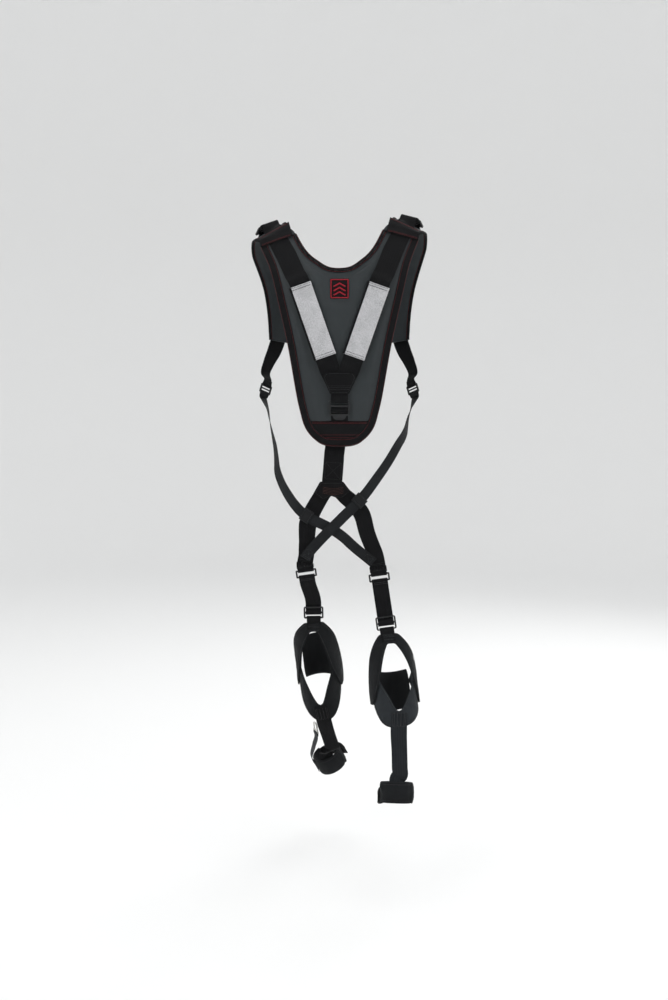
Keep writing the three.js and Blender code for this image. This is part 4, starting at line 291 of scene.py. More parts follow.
        [96, 18.1, -832.0, 0.99, 0, 0.139, 38, 0], [96.2, 17.6, -833.3, 0.99, 0, 0.139, 38, 0], [96.9, 17.7, -838.4, 0.99, 0, 0.139, 38, 0],
        [98.0, 17.5, -846.5, 0.99, 0, 0.139, 38, 0], [107.1, 9.2, -907.6, 0.99, 0, 0.139, 38, 0], [108.5, 7.2, -917.3, 0.99, 0, 0.139, 38, 0],
        [109.1, 6.1, -921.7, 0.99, 0, 0.139, 38, 0], [109.7, 4.0, -925.8, 0.99, 0, 0.139, 38, 0], [110.0, -0.2, -928.2, 0.99, 0, 0.139, 38, 0],
        [110.3, -2.6, -929.9, 0.99, 0, 0.139, 38, 0], [110.6, -3.5, -932.3, 0.99, 0, 0.139, 38, 0], [111.0, -3.6, -934.8, 0.99, 0, 0.139, 38, 0],
        [111.3, -2.1, -937.2, 0.99, 0, 0.139, 38, 0], [111.5, 0.6, -939.0, 0.99, 0, 0.139, 38, 0],
    ]),
    "calf_strap_right": (1.6, [
        [138.5, -102.8, -1122.9, 0.994, 0, 0.111, 38, 0.0085], [138.1, -106.9, -1130.0, 0.994, 0, 0.111, 38, 0.0085], [137.6, -111.4, -1137.8, 0.994, 0, 0.111, 38, 0.0085],
        [137.0, -115.8, -1145.6, 0.994, 0, 0.111, 38, 0.0085], [136.4, -120.6, -1154.1, 0.994, 0, 0.111, 38, 0.0085], [136.7, -153, -1210.5, 0.996, -0.002, 0.091, 36, 0.004],
        [136.7, -166.5, -1236.8, 0.998, -0.006, 0.056, 36, 0.004], [136.7, -174.6, -1252.6, 1, -0.01, 0.014, 35, 0.008], [130.5, -175.0, -1259.2, 1, -0.015, -0.027, 34, 0.017],
        [130.1, -180.1, -1272.3, 1, -0.015, -0.027, 34, 0.017], [129.6, -184.4, -1289.2, 1, -0.015, -0.027, 34, 0.017], [129.0, -188.8, -1306.2, 1, -0.015, -0.027, 34, 0.017],
    ]),
    "ankle_cuff_right": (5, [
        [115.0, -123.8, -1304.4, 0.03, 0.249, 0.968, 47, 0], [108.2, -127.8, -1303.2, 0.03, 0.249, 0.968, 47, 0], [102.4, -133.1, -1301.7, 0.03, 0.249, 0.968, 47, 0],
        [98.1, -139.5, -1299.8, 0.03, 0.249, 0.968, 47, 0], [95.3, -146.8, -1297.9, 0.03, 0.249, 0.968, 47, 0], [94.3, -154.4, -1295.9, 0.03, 0.249, 0.968, 47, 0],
        [95.1, -162.1, -1293.9, 0.03, 0.249, 0.968, 47, 0], [97.6, -169.5, -1292.1, 0.03, 0.249, 0.968, 47, 0], [101.8, -176.1, -1290.5, 0.03, 0.249, 0.968, 47, 0],
        [107.4, -181.7, -1289.3, 0.03, 0.249, 0.968, 47, 0], [114.1, -185.9, -1288.4, 0.03, 0.249, 0.968, 47, 0], [121.6, -188.6, -1287.9, 0.03, 0.249, 0.968, 47, 0],
        [129.5, -189.6, -1287.9, 0.03, 0.249, 0.968, 47, 0], [137.5, -188.8, -1288.4, 0.03, 0.249, 0.968, 47, 0], [145.0, -186.4, -1289.2, 0.03, 0.249, 0.968, 47, 0],
        [151.8, -182.3, -1290.5, 0.03, 0.249, 0.968, 47, 0], [157.4, -176.9, -1292.0, 0.03, 0.249, 0.968, 47, 0], [161.7, -170.4, -1293.9, 0.03, 0.249, 0.968, 47, 0],
        [164.4, -163.2, -1295.8, 0.03, 0.249, 0.968, 47, 0], [165.3, -155.5, -1297.8, 0.03, 0.249, 0.968, 47, 0], [164.4, -147.8, -1299.8, 0.03, 0.249, 0.968, 47, 0],
        [161.7, -140.5, -1301.6, 0.03, 0.249, 0.968, 47, 0], [157.5, -133.9, -1303.1, 0.03, 0.249, 0.968, 47, 0], [151.8, -128.4, -1304.4, 0.03, 0.249, 0.968, 47, 0],
        [145.0, -124.3, -1305.2, 0.03, 0.249, 0.968, 47, 0],
    ]),
    "cuff_flap_right": (2.4, [
        [161.5, -131.8, -1303.8, 0.03, 0.249, 0.968, 34, 0], [155.8, -126.0, -1305.2, 0.03, 0.249, 0.968, 34, 0], [148.9, -121.4, -1306.5, 0.03, 0.249, 0.968, 34, 0],
        [141.2, -118.4, -1307.5, 0.03, 0.249, 0.968, 34, 0], [133.0, -117.0, -1308.3, 0.03, 0.249, 0.968, 34, 0], [124.7, -117.3, -1308.8, 0.03, 0.249, 0.968, 34, 0],
        [116.6, -119.4, -1309.1, 0.03, 0.249, 0.968, 34, 0], [109.0, -123.0, -1309.2, 0.03, 0.249, 0.968, 34, 0], [102.4, -128.2, -1309.2, 0.03, 0.249, 0.968, 34, 0],
        [96.8, -134.6, -1309.0, 0.03, 0.249, 0.968, 33, 0], [92.2, -141.8, -1308.9, 0.03, 0.249, 0.968, 31, 0], [89.1, -150.0, -1308.7, 0.03, 0.249, 0.968, 27, 0],
        [87.6, -158.8, -1308.7, 0.03, 0.249, 0.968, 20, 0], [87.9, -167.8, -1308.8, 0.03, 0.249, 0.968, 11, 0],
    ]),
    "knee_tab_left": (1.6, [
        [-61.6, 81.6, -962.7, 1, 0, 0.017, 34, 0], [-62.0, 75.8, -944.6, 1, 0, 0.017, 34, 0], [-62.1, 74.8, -936.5, 1, 0, 0.017, 34, 0],
        [-62.2, 74.5, -931.4, 1, 0, 0.017, 34, 0], [-62.2, 73.8, -930.1, 1, 0, 0.017, 34, 0], [-62.2, 72.7, -929.1, 1, 0, 0.017, 34, 0],
        [-62.2, 71.2, -928.7, 1, 0, 0.017, 34, 0], [-62.2, 69.8, -928.9, 1, 0, 0.017, 34, 0], [-62.2, 68.5, -929.6, 1, 0, 0.017, 34, 0],
        [-62.2, 67.5, -930.8, 1, 0, 0.017, 34, 0], [-62.2, 67.1, -932.2, 1, 0, 0.017, 34, 0], [-62.1, 67.3, -933.7, 1, 0, 0.017, 34, 0],
        [-62.1, 70.0, -938.0, 1, 0, 0.017, 34, 0], [-61.9, 73.8, -945.2, 1, 0, 0.017, 34, 0], [-61.6, 79.6, -963.4, 1, 0, 0.017, 34, 0],
    ]),
    "knee_tab_right": (1.6, [
        [116.6, -17.8, -975.0, 0.99, 0, 0.139, 34, 0], [114.3, -8.5, -958.6, 0.99, 0, 0.139, 34, 0], [113.4, -3.2, -952.4, 0.99, 0, 0.139, 34, 0],
        [112.9, 0.3, -948.7, 0.99, 0, 0.139, 34, 0], [112.7, 0.8, -947.3, 0.99, 0, 0.139, 34, 0], [112.5, 0.7, -945.8, 0.99, 0, 0.139, 34, 0],
        [112.3, 0.0, -944.5, 0.99, 0, 0.139, 34, 0], [112.2, -1.1, -943.6, 0.99, 0, 0.139, 34, 0], [112.1, -2.5, -943.1, 0.99, 0, 0.139, 34, 0],
        [112.1, -4.0, -943.2, 0.99, 0, 0.139, 34, 0], [112.2, -5.3, -943.9, 0.99, 0, 0.139, 34, 0], [112.4, -6.3, -945, 0.99, 0, 0.139, 34, 0],
        [113.1, -7.6, -949.9, 0.99, 0, 0.139, 34, 0], [114.2, -10.3, -957.5, 0.99, 0, 0.139, 34, 0], [116.5, -19.6, -973.9, 0.99, 0, 0.139, 34, 0],
    ]),
}
FR = {"strap_keeper_left": [[-77.77, -9.22, -676.11], [0.525, -0.102, 0.845], [-0.217, -0.976, 0.017], [0.823, -0.192, -0.535]], "strap_keeper_right": [[47.16, -6.78, -640.33], [0.688, 0.165, -0.706], [0.269, -0.962, 0.038], [-0.674, -0.216, -0.707]], "reflective_sleeve_left": [[-62.45, -0.26, -220.4], [0.943, 0, 0.331], [-0.015, -0.999, 0.043], [0.331, -0.046, -0.942]], "reflective_sleeve_right": [[62.45, -0.26, -220.4], [0.943, 0, -0.331], [0.015, -0.999, 0.043], [-0.331, -0.046, -0.942]], "thigh_ring_left": [[-79.2, 30, -818.1], [0.99, 0, 0.139], [0.031, -0.975, -0.219], [0.136, 0.221, -0.966]], "thigh_ring_right": [[95.2, 20, -826.3], [0.99, 0, 0.139], [0.022, -0.987, -0.157], [0.137, 0.159, -0.978]], "knee_adjuster_left": [[-62.4, 66, -919.1], [1, 0, 0.017], [0.006, -0.939, -0.344], [0.016, 0.344, -0.939]], "knee_adjuster_right": [[110.7, 0, -933], [0.99, 0, 0.139], [-0.029, -0.978, 0.206], [0.136, -0.208, -0.969]], "front_adjuster_left": [[-182, 182, -380], [-0.676, -0.663, 0.322], [-0.688, 0.724, 0.048], [-0.265, -0.189, -0.946]], "front_adjuster_right": [[182, 182, -380], [-0.676, 0.663, -0.322], [0.688, 0.724, 0.048], [0.265, -0.189, -0.946]], "snap_hook": [[-58.8, 205, -1251], [-0.571, 0.762, 0.305], [-0.817, -0.492, -0.302], [-0.08, -0.422, 0.903]], "adj": [[0, 17.66, -428.96], [1, 0, 0], [0, -0.992, -0.129], [0, 0.129, -0.992]], "a_left": [-91.4, 3.76, -138], "b_left": [-33.5, -4.28, -302.8], "a_right": [91.4, 3.76, -138], "b_right": [33.5, -4.28, -302.8], "kneeBar_left": [-62.17, 70.91, -932.53], "kneeBar_right": [112.65, -2.98, -946.85]}

# --------------------------------------------------------------- materials


class Mat:
    """A material and short calls that add nodes to it."""

    def __init__(self, name, rough=0.6, metal=0.0, spec=0.35, sheen=0.0, coat=0.0):
        self.m = bpy.data.materials.new(name)
        self.m.use_nodes = True
        self.nt = self.m.node_tree
        self.b = self.nt.nodes["Principled BSDF"]
        self.b.inputs["Roughness"].default_value = rough
        self.b.inputs["Metallic"].default_value = metal
        self.b.inputs["Specular IOR Level"].default_value = spec
        self.b.inputs["Sheen Weight"].default_value = sheen
        self.b.inputs["Sheen Roughness"].default_value = 0.45
        self.b.inputs["Coat Weight"].default_value = coat

    def node(self, kind, **kw):
        n = self.nt.nodes.new("ShaderNode" + kind)
        for k, v in kw.items():
            setattr(n, k, v)
        return n

    def link(self, a, b):
        self.nt.links.new(a, b)

    def val(self, sock, x):
        if isinstance(x, bpy.types.NodeSocket):
            self.link(x, sock)
        else:
            sock.default_value = x

    def math(self, op, a, b=0.0, c=None):
        n = self.node("Math", operation=op)
        self.val(n.inputs[0], a)
        self.val(n.inputs[1], b)
        if c is not None:
            self.val(n.inputs[2], c)
        return n.outputs[0]

    def uv(self):
        n = self.node("UVMap", uv_map="UVMap")
        s = self.node("SeparateXYZ")
        self.link(n.outputs["UV"], s.inputs[0])
        return s.outputs[0], s.outputs[1], n.outputs["UV"]

    def obj(self):
        return self.node("TexCoord").outputs["Object"]

    def noise(self, vec, scale, detail=3.0, rough=0.5):
        n = self.node("TexNoise")
        self.link(vec, n.inputs["Vector"])
        n.inputs["Scale"].default_value = scale
        n.inputs["Detail"].default_value = detail
        n.inputs["Roughness"].default_value = rough
        return n.outputs["Fac"]

    def voronoi(self, vec, scale, feature="F1"):
        n = self.node("TexVoronoi", feature=feature)
        self.link(vec, n.inputs["Vector"])
        n.inputs["Scale"].default_value = scale
        return n.outputs["Distance"]

    def ramp(self, fac, stops):
        n = self.node("ValToRGB")
        self.link(fac, n.inputs[0])
        e = n.color_ramp.elements
        while len(e) < len(stops):
            e.new(0.5)
        for k, (p, c) in zip(e, stops):
            k.position = p
            k.color = (*c, 1) if len(c) == 3 else c
        return n.outputs[0]

    def range(self, fac, a, b, c, d):
        n = self.node("MapRange")
        self.link(fac, n.inputs[0])
        for i, x in enumerate((a, b, c, d)):
            n.inputs[i + 1].default_value = x
        return n.outputs[0]

    def bump(self, height, strength, distance):
        n = self.node("Bump")
        n.inputs["Strength"].default_value = strength
        n.inputs["Distance"].default_value = distance
        self.link(height, n.inputs["Height"])
        self.link(n.outputs[0], self.b.inputs["Normal"])

    def color(self, c):
        self.val(self.b.inputs["Base Color"], c if isinstance(c, bpy.types.NodeSocket) else (*c, 1))

    def rough(self, r):
        self.val(self.b.inputs["Roughness"], r)


def mul(c, k):
    return tuple(min(1.0, x * k) for x in c)


def webbing(name, base, pitch=0.0016, cols=0.0028, deep=0.45, sheen=0.04, rough=0.8, edge=1.3, spec=0.12):
    """Woven nylon: herringbone columns along the strap, fine ribs across it; colour lighter on the raised ribs (painted
    highlight) and darker in the grooves (painted shade).
    """
    m = Mat(name, rough, sheen=sheen, spec=spec)
    u, v, uv = m.uv()
    col = m.math("PINGPONG", u, cols)
    ph = m.math("ADD", m.math("MULTIPLY", v, 2 * math.pi / pitch), m.math("MULTIPLY", col, 1.1 * 2 * math.pi / pitch))
    rib = m.math("SINE", ph, 0)
    line = m.math("COSINE", m.math("MULTIPLY", u, 2 * math.pi / (cols * 2)), 0)
    h = m.math("ADD", m.math("MULTIPLY", rib, 0.6), m.math("MULTIPLY", line, 0.4))
    o = m.obj()
    fuzz = m.noise(o, 1800, 2)
    h2 = m.math("ADD", h, m.math("MULTIPLY", fuzz, 0.8))
    big = m.noise(o, 24, 4)
    # colour follows the weave height h2: painted highlight on the raised ribs, painted shade in the grooves, mixed with
    # large random mottling; edge scales the brightest stop, the painted highlight
    f = m.math("ADD", m.math("MULTIPLY", m.range(h2, -1, 1.8, 0, 1), 0.55), m.math("MULTIPLY", big, 0.45))
    m.color(m.ramp(f, [(0.1, mul(base, 0.55)), (0.5, base), (0.92, mul(base, edge * 1.5))]))
    m.rough(m.range(big, 0.3, 0.7, rough - 0.07, rough + 0.07))
    m.bump(h2, deep, 0.0004)
    return m.m


def leatherette(name, base, rough=0.5):
    m = Mat(name, rough, spec=0.26, sheen=0.02)
    o = m.obj()
    warp = m.noise(o, 260, 3)
    cell = m.voronoi(o, 640)
    fine = m.noise(o, 1500, 3)
    mott = m.noise(o, 13, 5, 0.6)
    wear = m.noise(o, 45, 6, 0.7)
    h = m.math("ADD", m.math("MULTIPLY", cell, 1.0), m.math("ADD", m.math("MULTIPLY", fine, 0.35), m.math("MULTIPLY", warp, 0.8)))
    f = m.math("ADD", m.math("MULTIPLY", mott, 0.6), m.math("MULTIPLY", wear, 0.4))
    m.color(m.ramp(f, [(0.25, mul(base, 0.8)), (0.5, base), (0.75, mul(base, 1.28))]))
    m.rough(m.range(f, 0.3, 0.7, rough - 0.06, rough + 0.09))
    m.bump(h, 0.28, 0.00045)
    return m.m


def knit(name, base, scale=1500, rough=0.88, sheen=0.06, highlight_and_mottle_gain=1.0):
    """Stretch jersey over foam: tiny loops in columns, colour partly lighter on the loop tops (painted highlight) and
    darker between them (painted shade), with soft random blotches.
    """
    m = Mat(name, rough, sheen=sheen, spec=0.14)
    u, v, uv = m.uv()
    a = m.math("SINE", m.math("MULTIPLY", u, 2 * math.pi / 0.0013), 0)
    b = m.math("SINE", m.math("ADD", m.math("MULTIPLY", v, 2 * math.pi / 0.0011), m.math("MULTIPLY", m.math("ABSOLUTE", a), 1.4)), 0)
    o = m.obj()
    n = m.noise(o, scale, 2)
    big = m.noise(o, 18, 5, 0.6)
    h = m.math("ADD", m.math("MULTIPLY", m.math("ADD", a, b), 0.3), m.math("MULTIPLY", n, 0.7))
    # colour partly follows the loop height h: painted highlight on loop tops, painted shade between loops, plus soft
    # random blotches from big; the gain on the last ramp stop scales this brightest colour
    f = m.math("ADD", m.math("MULTIPLY", m.range(h, -0.4, 1.1, 0, 1), 0.4), m.math("MULTIPLY", big, 0.6))
    m.color(m.ramp(f, [(0.2, mul(base, 0.6)), (0.5, base), (0.8, mul(base, 1.5 * highlight_and_mottle_gain))]))
    m.bump(h, 0.32, 0.0004)
    return m.m


def reflective(name):
    m = Mat(name, 0.4, 0.15, spec=0.4)
    o = m.obj()
    u, v, uv = m.uv()
    spk = m.noise(o, 1150, 3, 0.8)
    grit = m.noise(o, 520, 3, 0.7)
    big = m.noise(o, 30, 4, 0.6)
    g = m.math("ADD", m.math("MULTIPLY", spk, 0.55), m.math("ADD", m.math("MULTIPLY", grit, 0.35), m.math("MULTIPLY", big, 0.12)))
    m.color(m.ramp(g, [(0.36, (0.15, 0.15, 0.155)), (0.46, (0.35, 0.35, 0.36)), (0.54, (0.50, 0.50, 0.515)), (0.68, (0.70, 0.70, 0.72))]))
    m.rough(m.range(spk, 0.3, 0.7, 0.34, 0.55))
    weave = m.math("MULTIPLY", m.math("SINE", m.math("MULTIPLY", u, 2 * math.pi / 0.0009), 0), m.math("SINE", m.math("MULTIPLY", v, 2 * math.pi / 0.0009), 0))
    m.bump(m.math("ADD", m.math("MULTIPLY", spk, 0.8), m.math("MULTIPLY", weave, 0.3)), 0.35, 0.0003)
    return m.m


def plastic(name, base=(0.0085, 0.0092, 0.0102), rough=0.38):
    m = Mat(name, rough, spec=0.36)
    o = m.obj()
    grain = m.noise(o, 2600, 2)
    scuff = m.noise(o, 120, 6, 0.75)
    big = m.noise(o, 30, 3)
    m.color(m.ramp(m.math("ADD", m.math("MULTIPLY", scuff, 0.6), m.math("MULTIPLY", big, 0.4)), [(0.3, mul(base, 0.85)), (0.55, base), (0.72, mul(base, 1.5))]))
    m.rough(m.range(scuff, 0.3, 0.75, rough - 0.05, rough + 0.14))
    m.bump(grain, 0.12, 0.0002)
    return m.m


def steel(name):
    m = Mat(name, 0.28, 1.0, spec=0.5)
    o = m.obj()
    scr = m.noise(o, 900, 6, 0.8)
    tarn = m.noise(o, 90, 4)
    m.color(m.ramp(tarn, [(0.3, (0.5, 0.49, 0.46)), (0.6, (0.68, 0.67, 0.64)), (0.85, (0.78, 0.77, 0.75))]))
    m.rough(m.range(scr, 0.35, 0.7, 0.2, 0.42))
    m.bump(scr, 0.08, 0.0001)
    return m.m


def thread(name, base, rough=0.55):
    m = Mat(name, rough, spec=0.25, sheen=0.05)
    o = m.obj()
    tw = m.noise(o, 3000, 2)
    m.color(m.ramp(tw, [(0.35, mul(base, 0.6)), (0.7, mul(base, 1.25))]))
    m.bump(tw, 0.4, 0.0002)
    return m.m


M = {
    "cover": leatherette("charcoal_leatherette", (0.0215, 0.0262, 0.0285), 0.5),
    "mesh": knit("spacer_mesh", (0.0125, 0.013, 0.0145), 900, 0.9, 0.06),
    "bind": webbing("binding_tape", (0.0052, 0.0052, 0.0058), 0.0011, 0.0016, 0.35),
    "web": webbing("black_webbing", (0.0045, 0.0046, 0.0052)),
    "calf": webbing("calf_webbing", (0.0125, 0.0145, 0.0165)),
    "twill": webbing("hip_twill", (0.0115, 0.0125, 0.0138), 0.0012, 0.0012, 0.35, 0.05),
    "elastic": webbing("woven_elastic", (0.0045, 0.0045, 0.0052), 0.0022, 0.004, 0.5),
    "keeper": webbing("keeper_tape", (0.0125, 0.013, 0.014), 0.0024, 0.0022, 0.6, 0.06),
    "greyel": webbing("grey_elastic", (0.036, 0.038, 0.041), 0.0016, 0.002, 0.45, 0.05),
    "neo": knit("stretch_jersey", (0.0085, 0.0094, 0.0104), 1500),
    "neo2": knit("stretch_jersey_pale", (0.0195, 0.0225, 0.0255), 1500),
    "loop": knit("loop_tape", (0.0065, 0.0068, 0.0074), 700, 0.95, 0.12),
    "reflect": reflective("silver_reflective"),
    "plastic": plastic("moulded_nylon"),
    "steel": steel("plated_steel"),
    "red": thread("red_thread", (0.105, 0.0062, 0.0095)),
    "dark": thread("dark_thread", (0.0165, 0.017, 0.0185)),
    "ink": thread("hem_thread", (0.0055, 0.0055, 0.0065)),
    "grey": thread("grey_thread", (0.030, 0.031, 0.034)),
    "rust": thread("brown_thread", (0.075, 0.026, 0.018)),
    "badge": webbing("badge_twill", (0.0085, 0.006, 0.0068), 0.0011, 0.0011, 0.4, 0.05),
    "satin": thread("badge_satin", (0.40, 0.0065, 0.022), 0.42),
}

# ----------------------------------------------------------------- geometry


def lean(P):
    t = np.clip((P[..., 2] + 150) / 130, 0, 1)
    P = P.copy()
    P[..., 2] += 0.045 * P[..., 0] * t * t * (3 - 2 * t)
    return P


def unit(a):
    return a / np.maximum(np.linalg.norm(a, axis=-1, keepdims=True), 1e-9)


def vec(*a):
    return np.array(a, float)


def build(name, V, F, UV=None, mats=(), fmat=None, smooth=True, recalc=True):
    me = bpy.data.meshes.new(name)
    me.from_pydata([tuple(x) for x in (np.asarray(V) * MM).tolist()], [], F)
    for m in mats:
        me.materials.append(m)
    if fmat is not None:
        me.polygons.foreach_set("material_index", np.asarray(fmat, np.int32))
    if UV is not None:
        lay = me.uv_layers.new(name="UVMap")
        idx = np.zeros(len(me.loops), np.int32)
        me.loops.foreach_get("vertex_index", idx)
        lay.data.foreach_set("uv", (np.asarray(UV)[idx] * MM).astype(np.float32).ravel())
    me.polygons.foreach_set("use_smooth", np.full(len(me.polygons), smooth))
    if recalc:
        bm = bmesh.new()
        bm.from_mesh(me)
        bmesh.ops.recalc_face_normals(bm, faces=bm.faces)
        bm.to_mesh(me)
        bm.free()
    me.update()
    ob = bpy.data.objects.new(name, me)
    scene.collection.objects.link(ob)
    return ob


def loft(name, L, U, mats, close_rows=False, cap="strip", fm=None, half=None):
    """L (rows, k, 3) closed loops, U (rows, k, 2). fm(i, j) gives a face's material index."""
    n, k = L.shape[:2]
    F, FM = [], []
    for i in range(n if close_rows else n - 1):
        a0, b0 = i * k, ((i + 1) % n) * k
        for j in range(k):
            j2 = (j + 1) % k
            F.append((a0 + j, a0 + j2, b0 + j2, b0 + j))
            FM.append(fm(i, j) if fm else 0)
    if not close_rows:
        m = half if half is not None else k // 2
        for r in (0, n - 1):
            o = r * k
            if cap == "ngon":
                F.append(tuple(o + j for j in range(k)))
                FM.append(0)
                continue
            for j in range(m):
                t0, t1 = j, j + 1
                b0_, b1_ = (k - j) % k, (k - j - 1) % k
                f = [o + t0, o + t1, o + b1_, o + b0_]
                g = []
                for x in f:
                    if x not in g:
                        g.append(x)
                if len(g) > 2:
                    F.append(tuple(g))
                    FM.append(fm(r if r == 0 else n - 2, j) if fm else 0)
    return build(name, L.reshape(-1, 3), F, U.reshape(-1, 2), mats, FM if fm else None)


def hermite(P, step):
    """Smooth resampling of rows of P by their first three columns; returns rows and arc length."""
    P = np.asarray(P, float)
    h = np.maximum(np.linalg.norm(np.diff(P[:, :3], axis=0), axis=1), 1e-6)
    d = np.diff(P, axis=0) / h[:, None]
    m = np.zeros_like(P)
    m[0], m[-1] = d[0], d[-1]
    for i in range(1, len(P) - 1):
        m[i] = (d[i - 1] * h[i] + d[i] * h[i - 1]) / (h[i - 1] + h[i])
    out = []
    for i in range(len(P) - 1):
        q = max(1, int(math.ceil(h[i] / step)))
        for t in np.arange(q) / q:
            t2, t3 = t * t, t * t * t
            out.append((2 * t3 - 3 * t2 + 1) * P[i] + (t3 - 2 * t2 + t) * h[i] * m[i] + (-2 * t3 + 3 * t2) * P[i + 1] + (t3 - t2) * h[i] * m[i + 1])
    out.append(P[-1])
    out = np.array(out)
    s = np.concatenate([[0], np.cumsum(np.linalg.norm(np.diff(out[:, :3], axis=0), axis=1))])
    return out, s


class Strap:
    """Frames along a strap: outer face is +N."""

    def __init__(self, key=None, S=None, th=None, step=3.0, leaned=False):
        if key:
            th, S = ST[key]
        self.th = th
        R, self.s = hermite(S, step)
        self.P = R[:, :3]
        T = np.gradient(self.P, axis=0)
        self.T = unit(T)
        N = unit(np.cross(self.T, R[:, 3:6]))
        self.N = N
        self.W = unit(np.cross(N, self.T))
        self.b = R[:, 6]
        self.c = R[:, 7]
        self.leaned = leaned
        self.len = self.s[-1]

    def at(self, s, x, off=None):
        """Point and normal on the outer face, s along and x across (mm)."""
        s = np.asarray(s, float)
        x = np.asarray(x, float)
        g = lambda A: np.stack([np.interp(s, self.s, A[:, i]) for i in range(3)], -1)
        P, N, W = g(self.P), unit(g(self.N)), unit(g(self.W))
        c = np.interp(s, self.s, self.c)
        o = (self.th / 2 + 0.1) if off is None else off
        p = P + W * x[..., None] + N * (o - c * x * x)[..., None]
        return (lean(p) if self.leaned else p), N

    def loops(self, prof, extra=None):
        """prof(b, i) -> (x, n) arrays of one closed loop."""
        rows, uv = [], []
        for i in range(len(self.s)):
            x, n = prof(self.b[i], i)
            if extra is not None:
                n = n + extra(self.s[i], x, n, i)
            p = self.P[i] + np.outer(x, self.W[i]) + np.outer(n - self.c[i] * x * x, self.N[i])
            rows.append(p)
            uv.append(np.stack([x, np.full_like(x, self.s[i])], -1))
        L = np.array(rows)
        return (lean(L) if self.leaned else L), np.array(uv)


def flat_prof(th, m=10):
    def f(b, i=0):
        r = min(th / 2, b / 4)
        e = np.array([0, 0.1, 0.4, 1.0]) * r
        inner = np.linspace(-b / 2 + r, b / 2 - r, m + 1)[1:-1]
        xs = np.concatenate([-b / 2 + e, inner, (b / 2 - e)[::-1]])
        q = np.clip((np.abs(xs) - (b / 2 - r)) / r, 0, 1)
        n = th / 2 * np.sqrt(np.maximum(0, 1 - q * q))
        return np.concatenate([xs, xs[-2:0:-1]]), np.concatenate([n, -n[-2:0:-1]])
    return f


def pad_prof(th, edge, m=18, p=4.0, q=0.55, rim=6.0):
    """Padded strip: full in the middle, thin at its bound edges."""
    def f(b, i=0):
        r = edge / 2
        e = np.array([0, 0.15, 0.5, 1.0]) * r
        inner = np.sin(np.linspace(-1, 1, m + 1)[1:-1] * math.pi / 2) * (b / 2 - r)
        xs = np.concatenate([-b / 2 + e, inner, (b / 2 - e)[::-1]])
        k = np.clip((np.abs(xs) - (b / 2 - r)) / r, 0, 1)
        n = r * np.sqrt(np.maximum(0, 1 - k * k))
        s = np.clip(np.abs(xs) / (b / 2 - rim), 0, 1)
        n = n + (th / 2 - r) * (1 - s ** p) ** q
        return np.concatenate([xs, xs[-2:0:-1]]), np.concatenate([n, -n[-2:0:-1]])
    return f


def nz(p, scale, seed=0.0):
    return noise.noise(Vector((p[0] * scale + seed, p[1] * scale, p[2] * scale)))


def go(ob, body, *nodes, slot=None):
    if nodes:
        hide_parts(*nodes)
    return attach(ob, body)


# stitches, gathered by body and thread, made into one piece each
STITCH = {}


def stitch(key, P, N, pitch=4.2, length=3.0, r=0.42):
    """Run of thread stitches along points P with outward normals N."""
    P, N = np.asarray(P, float), np.asarray(N, float)
    s = np.concatenate([[0], np.cumsum(np.linalg.norm(np.diff(P, axis=0), axis=1))])
    if s[-1] < length:
        return
    n = max(1, int(s[-1] / pitch))
    off = (s[-1] - n * pitch + (pitch - length)) / 2
    a = off + np.arange(n) * pitch
    fr = np.array([0.0, 0.22, 0.5, 0.78, 1.0])
    rr = np.array([0.45, 0.95, 1.0, 0.95, 0.45]) * r
    up = np.array([-0.9, 0.1, 0.25, 0.1, -0.9]) * r
    q = a[:, None] + fr[None] * length
    C = np.stack([np.interp(q, s, P[:, i]) for i in range(3)], -1)
    NN = unit(np.stack([np.interp(q, s, N[:, i]) for i in range(3)], -1))
    T = unit(C[:, -1:] - C[:, :1])
    B = unit(np.cross(T, NN))
    NN = unit(np.cross(B, np.broadcast_to(T, B.shape)))
    C = C + NN * up[None, :, None]
    ang = np.arange(6) * math.pi / 3
    ring = C[:, :, None] + rr[None, :, None, None] * (np.cos(ang)[None, None, :, None] * B[:, :, None] + np.sin(ang)[None, None, :, None] * NN[:, :, None])
    STITCH.setdefault(key, []).append(ring.reshape(n, 30, 3))


def zigzag(key, P, N, W, half=2.2, pitch=2.0, r=0.36):
    """Bar tack: close zigzag across a line."""
    P = np.asarray(P, float)
    s = np.concatenate([[0], np.cumsum(np.linalg.norm(np.diff(P, axis=0), axis=1))])
    n = max(2, int(s[-1] / (pitch / 2)))
    q = np.linspace(0, s[-1], n)
    C = np.stack([np.interp(q, s, P[:, i]) for i in range(3)], -1)
    Nn = unit(np.stack([np.interp(q, s, np.asarray(N)[:, i]) for i in range(3)], -1))
    sg = np.where(np.arange(n) % 2 == 0, 1, -1)[:, None]
    C = C + sg * half * np.asarray(W)
    for i in range(n - 1):
        stitch(key, C[i:i + 2], Nn[i:i + 2], pitch=np.linalg.norm(C[i + 1] - C[i]), length=np.linalg.norm(C[i + 1] - C[i]) * 0.98, r=r)


def flush_stitches():
    base = []
    for j in range(4):
        for i in range(6):
            base.append((j * 6 + i, j * 6 + (i + 1) % 6, (j + 1) * 6 + (i + 1) % 6, (j + 1) * 6 + i))
    base.append(tuple(range(5, -1, -1)))
    base.append(tuple(24 + i for i in range(6)))
    for (body, mat), parts in STITCH.items():
        V = np.concatenate(parts)
        F = []
        for k in range(len(V)):
            o = k * 30
            F.extend(tuple(o + x for x in f) for f in base)
        ob = build("stitching_%s_%s" % (mat, body), V.reshape(-1, 3), F, None, [M[mat]], recalc=False)
        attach(ob, body)


def strap_stitch(S, body, mat, x0, x1, s0, s1, n=40, **k):
    t = np.linspace(0, 1, n)
    P, N = S.at(s0 + (s1 - s0) * t, x0 + (x1 - x0) * t)
    stitch((body, mat), P, N, **k)


def box_x(S, body, mat, s0, s1, half, **k):
    for a, b, c, d in ((-half, half, s0, s0), (-half, half, s1, s1), (-half, -half, s0, s1), (half, half, s0, s1), (-half, half, s0, s1), (half, -half, s0, s1)):
        strap_stitch(S, body, mat, a, b, c, d, **k)


